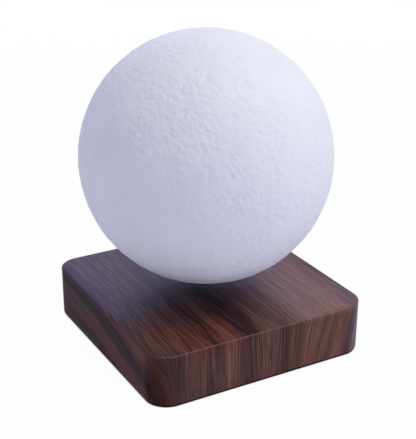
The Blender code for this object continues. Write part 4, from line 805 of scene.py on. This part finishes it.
class MOONLAMP_OT_moon(bpy.types.Operator):
    """Build the printed moon: its carved shell, and the plug that closes it"""

    bl_idname = "moonlamp.moon"
    bl_label = "Printed Moon"

    def execute(self, context):
        look = context.scene.moonlamp_moon
        plastic = printed_pla(look)
        self.make_shell(look, plastic)
        self.make_plug(look, plastic)
        return {"FINISHED"}

    def make_shell(self, look, plastic):
        """The shell: its outer face carved, its neck and inner wall plain."""
        shell = add_piece("moon_skin", hollow_ball(look), plastic)
        count = len(shell.data.vertices)
        if count == 0:
            raise RuntimeError("the moon's ball has no points")
        places = np.empty(count * 3)
        shell.data.vertices.foreach_get("co", places)
        places = places.reshape(-1, 3)
        lengths = np.linalg.norm(places, axis=1)
        outside = np.flatnonzero(lengths > MOON_RADIUS - TOUCH)
        edge_height = places[outside, 2].min()
        directions = places[outside] / lengths[outside, None]
        fade = np.clip((places[outside, 2] - edge_height) / RELIEF_FADE, 0, 1)
        heights = moon_relief(directions, look) * fade
        places[outside] += directions * heights[:, None]
        places[:, 2] += MOON_CENTRE
        shell.data.vertices.foreach_set("co", places.ravel())
        shell.data.shade_smooth()
        shell.data.set_sharp_from_angle(angle=SHARP_RELIEF)
        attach(shell, "moon")
        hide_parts("moon_shell")

    def make_plug(self, look, plastic):
        """The plug: a cap of the same ball, with a rim up inside the neck and the tray's bosses."""
        inner_radius = PLUG_RADIUS - look.rim_wall
        floor_ball = MOON_RADIUS - look.plug_floor
        rims = []
        for ball, edge in ((floor_ball, inner_radius), (MOON_RADIUS, PLUG_RADIUS)):
            spread = math.asin(edge / ball)
            rims.append([(ball * math.sin(index * spread / PLUG_POINTS),
                          MOON_CENTRE - ball * math.cos(index * spread / PLUG_POINTS))
                         for index in range(PLUG_POINTS + 1)])
        inner, outer = rims
        brim = [(inner_radius, PLUG_HIGH.z), (PLUG_RADIUS, PLUG_HIGH.z)]
        plug = turned("moon_cap", inner + brim + outer[::-1], ROUND_STEPS, plastic)
        bosses, holes = [], []
        boss_top = MOON_CENTRE - math.sqrt(floor_ball ** 2 - TRAY_HIGH.x ** 2)
        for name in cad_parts:
            if not name.startswith("tray_screw"):
                continue
            low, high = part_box(name)
            centre = ((low.x + high.x) / 2, (low.y + high.y) / 2, 0)
            circle = math.hypot(centre[0], centre[1])
            far_drop = math.sqrt(MOON_RADIUS ** 2 - (circle + look.boss_radius) ** 2)
            near_drop = math.sqrt(floor_ball ** 2 - (circle - look.boss_radius) ** 2)
            foot = MOON_CENTRE - (far_drop + near_drop) / 2
            for group, radius, bottom, top in ((bosses, look.boss_radius, foot, boss_top),
                                               (holes, look.boss_bore, low.z - FIT_GAP, high.z)):
                outline = [(0, top), (radius, top), (radius, bottom), (0, bottom)]
                group.append(turned("boss_tool", outline, BOSS_STEPS, None, centre))
        cut(plug, bosses, "UNION")
        cut(plug, holes)
        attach(plug, "moon")
        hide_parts("moon_plug")


class MOONLAMP_OT_base(bpy.types.Operator):
    """Build the foiled block of the base, with its pockets and its power inlet"""

    bl_idname = "moonlamp.base"
    bl_label = "Foiled Base"

    def execute(self, context):
        look = context.scene.moonlamp_base
        block = rounded_block("foiled_block", BLOCK_LOW, BLOCK_HIGH, look.corner_radius,
                              CORNER_STEPS, walnut_foil(look))
        edges = block.modifiers.new("Rounded edges", "BEVEL")
        edges.width = look.edge_radius
        edges.segments = EDGE_STEPS
        edges.limit_method = "ANGLE"
        cut(block, self.pockets(look) + [self.inlet(look)])
        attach(block, "base")
        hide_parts("base_block")
        return {"FINISHED"}

    def pockets(self, look):
        """Cutters of the cover's rebate, the board's pocket and the module's pocket."""
        low = COVER_LOW - Vector((FIT_GAP, FIT_GAP, OVERRUN))
        high = Vector((COVER_HIGH.x + FIT_GAP, COVER_HIGH.y + FIT_GAP, look.cover_seat))
        rebate = rounded_block("rebate_tool", low, high, look.cover_corner, REBATE_STEPS, None)
        rounds = ((BOARD_HIGH.x + look.board_gap, BOARD_HIGH.z + FIT_GAP),
                  (MODULE_HIGH.x + look.lead_gap, BLOCK_HIGH.z - look.top_wall))
        return [rebate] + [
            turned("pocket_tool", [(0, ceiling), (radius, ceiling), (radius, 0), (0, 0)],
                   ROUND_STEPS, None) for radius, ceiling in rounds]

    def inlet(self, look):
        """Cutter of the round hole for the power plug, flared at its mouth."""
        mouth = BLOCK_HALF + OVERRUN
        flared = look.inlet_radius + look.inlet_flare
        profile = [(0, mouth), (flared + OVERRUN, mouth),
                   (look.inlet_radius, BLOCK_HALF - look.inlet_flare),
                   (look.inlet_radius, JACK_LOW.y), (0, JACK_LOW.y)]
        tool = turned("inlet_tool", profile, INLET_STEPS, None)
        height = (JACK_LOW.z + JACK_HIGH.z) / 2
        turn = Matrix.Rotation(-math.pi / 2, 4, "X")
        tool.matrix_world = Matrix.Translation((0, 0, height)) @ turn
        return tool


class MOONLAMP_OT_works(bpy.types.Operator):
    """Give the pieces under and inside the base and the moon their finishes"""

    bl_idname = "moonlamp.works"
    bl_label = "Working Parts"

    def execute(self, context):
        dressed = {"moon_shell", "moon_plug", "base_block"}
        for material, colours, grain, roughness, relief, values, starts in FINISHES:
            finish = wandering_finish(material, colours, grain * MM, roughness,
                                      relief * MM, **values)
            for name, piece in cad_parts.items():
                if name.startswith(starts) and name not in dressed:
                    piece.data.materials.clear()
                    piece.data.materials.append(finish)
                    dressed.add(name)
        plain = set(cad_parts) - dressed
        if plain:
            raise RuntimeError(f"these pieces have no finish: {sorted(plain)}")
        return {"FINISHED"}


class MOONLAMP_OT_studio(bpy.types.Operator):
    """Set up the camera, the pale floor, the room's light and the lamps"""

    bl_idname = "moonlamp.studio"
    bl_label = "Studio"

    def execute(self, context):
        look = context.scene.moonlamp_studio
        context.scene.view_settings.view_transform = "Standard"
        self.make_camera(context.scene, look)
        self.make_floor(look, context.scene.moonlamp_base.corner_radius)
        self.make_room(context.scene, look)
        for lamp in LAMPS:
            self.make_lamp(look, *lamp)
        return {"FINISHED"}

    def make_camera(self, scene, look):
        """Stand the camera round the lamp, aimed a little beside its axis."""
        camera = bpy.data.objects.new("camera", bpy.data.cameras.new("camera"))
        scene.collection.objects.link(camera)
        camera.data.lens = look.lens
        camera.data.clip_start = 10 * MM
        camera.data.clip_end = 4 * look.floor_radius
        target = Vector((0, 0, look.aim_height))
        place = target + look.distance * unit_direction(look.azimuth, look.elevation)
        target += look.aim_shift * Vector((math.cos(look.azimuth), math.sin(look.azimuth), 0))
        turn = (target - place).to_track_quat("-Z", "Y").to_matrix()
        turn @= Matrix.Rotation(look.roll, 3, "Z")
        camera.matrix_world = Matrix.Translation(place) @ turn.to_4x4()
        scene.camera = camera

    def make_floor(self, look, corner_radius):
        """Round white floor, painted dark in the gap under the block as painted shade, and lost in
        the white far off.
        """
        material, tree, shader = new_material("matte_paper", 0.9)
        shader.inputs["Specular IOR Level"].default_value = 0.0
        seen, white = self.seen_white(tree, 0.3)
        place = add_node(tree, "TexCoord").outputs["Object"]
        away = add_node(tree, "VectorMath", (place,), operation="LENGTH")
        pale = add_node(tree, "MapRange", (away, FLOOR_NEAR, FLOOR_FAR, FLOOR_WHITE, 1.0))
        outward = beyond_core(tree, place, corner_radius)[1]
        beyond = add_node(tree, "VectorMath", (outward,), operation="LENGTH")
        clear = add_node(tree, "MapRange", (beyond, corner_radius - MM, corner_radius))
        # Painted shade: the floor's colour is dark in the gap under the block
        paint(tree, shader, Base_Color=add_node(tree, "Mix", (
            clear, linear("1C1C22"), linear("EDEDF0")), data_type="RGBA"))
        share = add_node(tree, "Math", (seen, pale), operation="MULTIPLY")
        share = add_node(tree, "Math", (share, clear), operation="MULTIPLY")
        glow = add_node(tree, "Emission", (white, 1.0))
        mixed = add_node(tree, "MixShader", (share, shader, glow))
        tree.links.new(mixed.outputs[0], tree.nodes["Material Output"].inputs["Surface"])
        bm = bmesh.new()
        bmesh.ops.create_circle(bm, cap_ends=True, segments=ROUND_STEPS, radius=look.floor_radius)
        add_piece("paper_floor", bm, material)

    def seen_white(self, tree, glossy_share=1.0):
        """How far a ray sees the white, and which: full white for the camera, also through glass,
        and a cooler white in a gloss."""
        rays = add_node(tree, "LightPath").outputs
        straight = add_node(tree, "Math", (rays["Is Camera Ray"], rays["Is Transmission Ray"]),
                            operation="MAXIMUM")
        glossy = add_node(tree, "Math", (rays["Is Glossy Ray"], glossy_share), operation="MULTIPLY")
        seen = add_node(tree, "Math", (straight, glossy), operation="MAXIMUM")
        white = add_node(tree, "Mix", (straight, linear("DDE2FF"), (1, 1, 1, 1)), data_type="RGBA")
        return seen, white

    def make_room(self, scene, look):
        """White room, which lights the lamp with a softer, faintly lilac light."""
        room = bpy.data.worlds.new("white_room")
        scene.world = room
        room.use_nodes = True
        tree = room.node_tree
        tree.nodes.clear()
        light = add_node(tree, "Background", (look.ambient_colour, look.ambient))
        seen, white = self.seen_white(tree)
        backdrop = add_node(tree, "Background", (white, 1.0))
        mixed = add_node(tree, "MixShader", (seen, light, backdrop))
        add_node(tree, "OutputWorld", (mixed,))

    def make_lamp(self, look, name, power, hex_colour, azimuth, elevation):
        """A large soft lamp, aimed at the moon from an azimuth and an elevation in degrees."""
        lamp = bpy.data.objects.new(name, bpy.data.lights.new(name, "AREA"))
        bpy.context.scene.collection.objects.link(lamp)
        lamp.data.shape = "DISK"
        lamp.data.size = LAMP_SIZE
        lamp.data.energy = getattr(look, power)
        lamp.data.color = linear(hex_colour)[:3]
        back = unit_direction(math.radians(azimuth), math.radians(elevation))
        lamp.location = Vector((0, 0, MOON_CENTRE)) + LAMP_DISTANCE * back
        lamp.rotation_euler = back.to_track_quat("Z", "Y").to_euler()
        lamp.visible_camera = False


class MOONLAMP_PT_panel(bpy.types.Panel):
    """The sidebar's list of what builds the lamp, with its sizes and colours"""

    bl_idname = "MOONLAMP_PT_panel"
    bl_label = "Moon Lamp"
    bl_space_type = "VIEW_3D"
    bl_region_type = "UI"
    bl_category = "Moon Lamp"

    def draw(self, context):
        for part in ("moon", "base", "works", "studio"):
            self.layout.operator("moonlamp." + part)
            settings = getattr(context.scene, "moonlamp_" + part, None)
            if settings:
                for name in settings.__annotations__:
                    self.layout.prop(settings, name)


CLASSES = (MOONLAMP_PG_moon, MOONLAMP_PG_base, MOONLAMP_PG_studio, MOONLAMP_OT_moon,
           MOONLAMP_OT_base, MOONLAMP_OT_works, MOONLAMP_OT_studio, MOONLAMP_PT_panel)
SETTINGS = {"moonlamp_moon": MOONLAMP_PG_moon, "moonlamp_base": MOONLAMP_PG_base,
            "moonlamp_studio": MOONLAMP_PG_studio}


def register():
    """Make the lamp's settings, operators and panel known to Blender."""
    for kind in CLASSES:
        bpy.utils.register_class(kind)
    for name, kind in SETTINGS.items():
        setattr(bpy.types.Scene, name, bpy.props.PointerProperty(type=kind))


def unregister():
    """Take them out again."""
    for name in SETTINGS:
        delattr(bpy.types.Scene, name)
    for kind in reversed(CLASSES):
        bpy.utils.unregister_class(kind)


def main():
    """Build everything in order."""
    register()
    bpy.ops.moonlamp.studio()
    bpy.ops.moonlamp.moon()
    bpy.ops.moonlamp.base()
    bpy.ops.moonlamp.works()


if __name__ == "__main__":
    main()
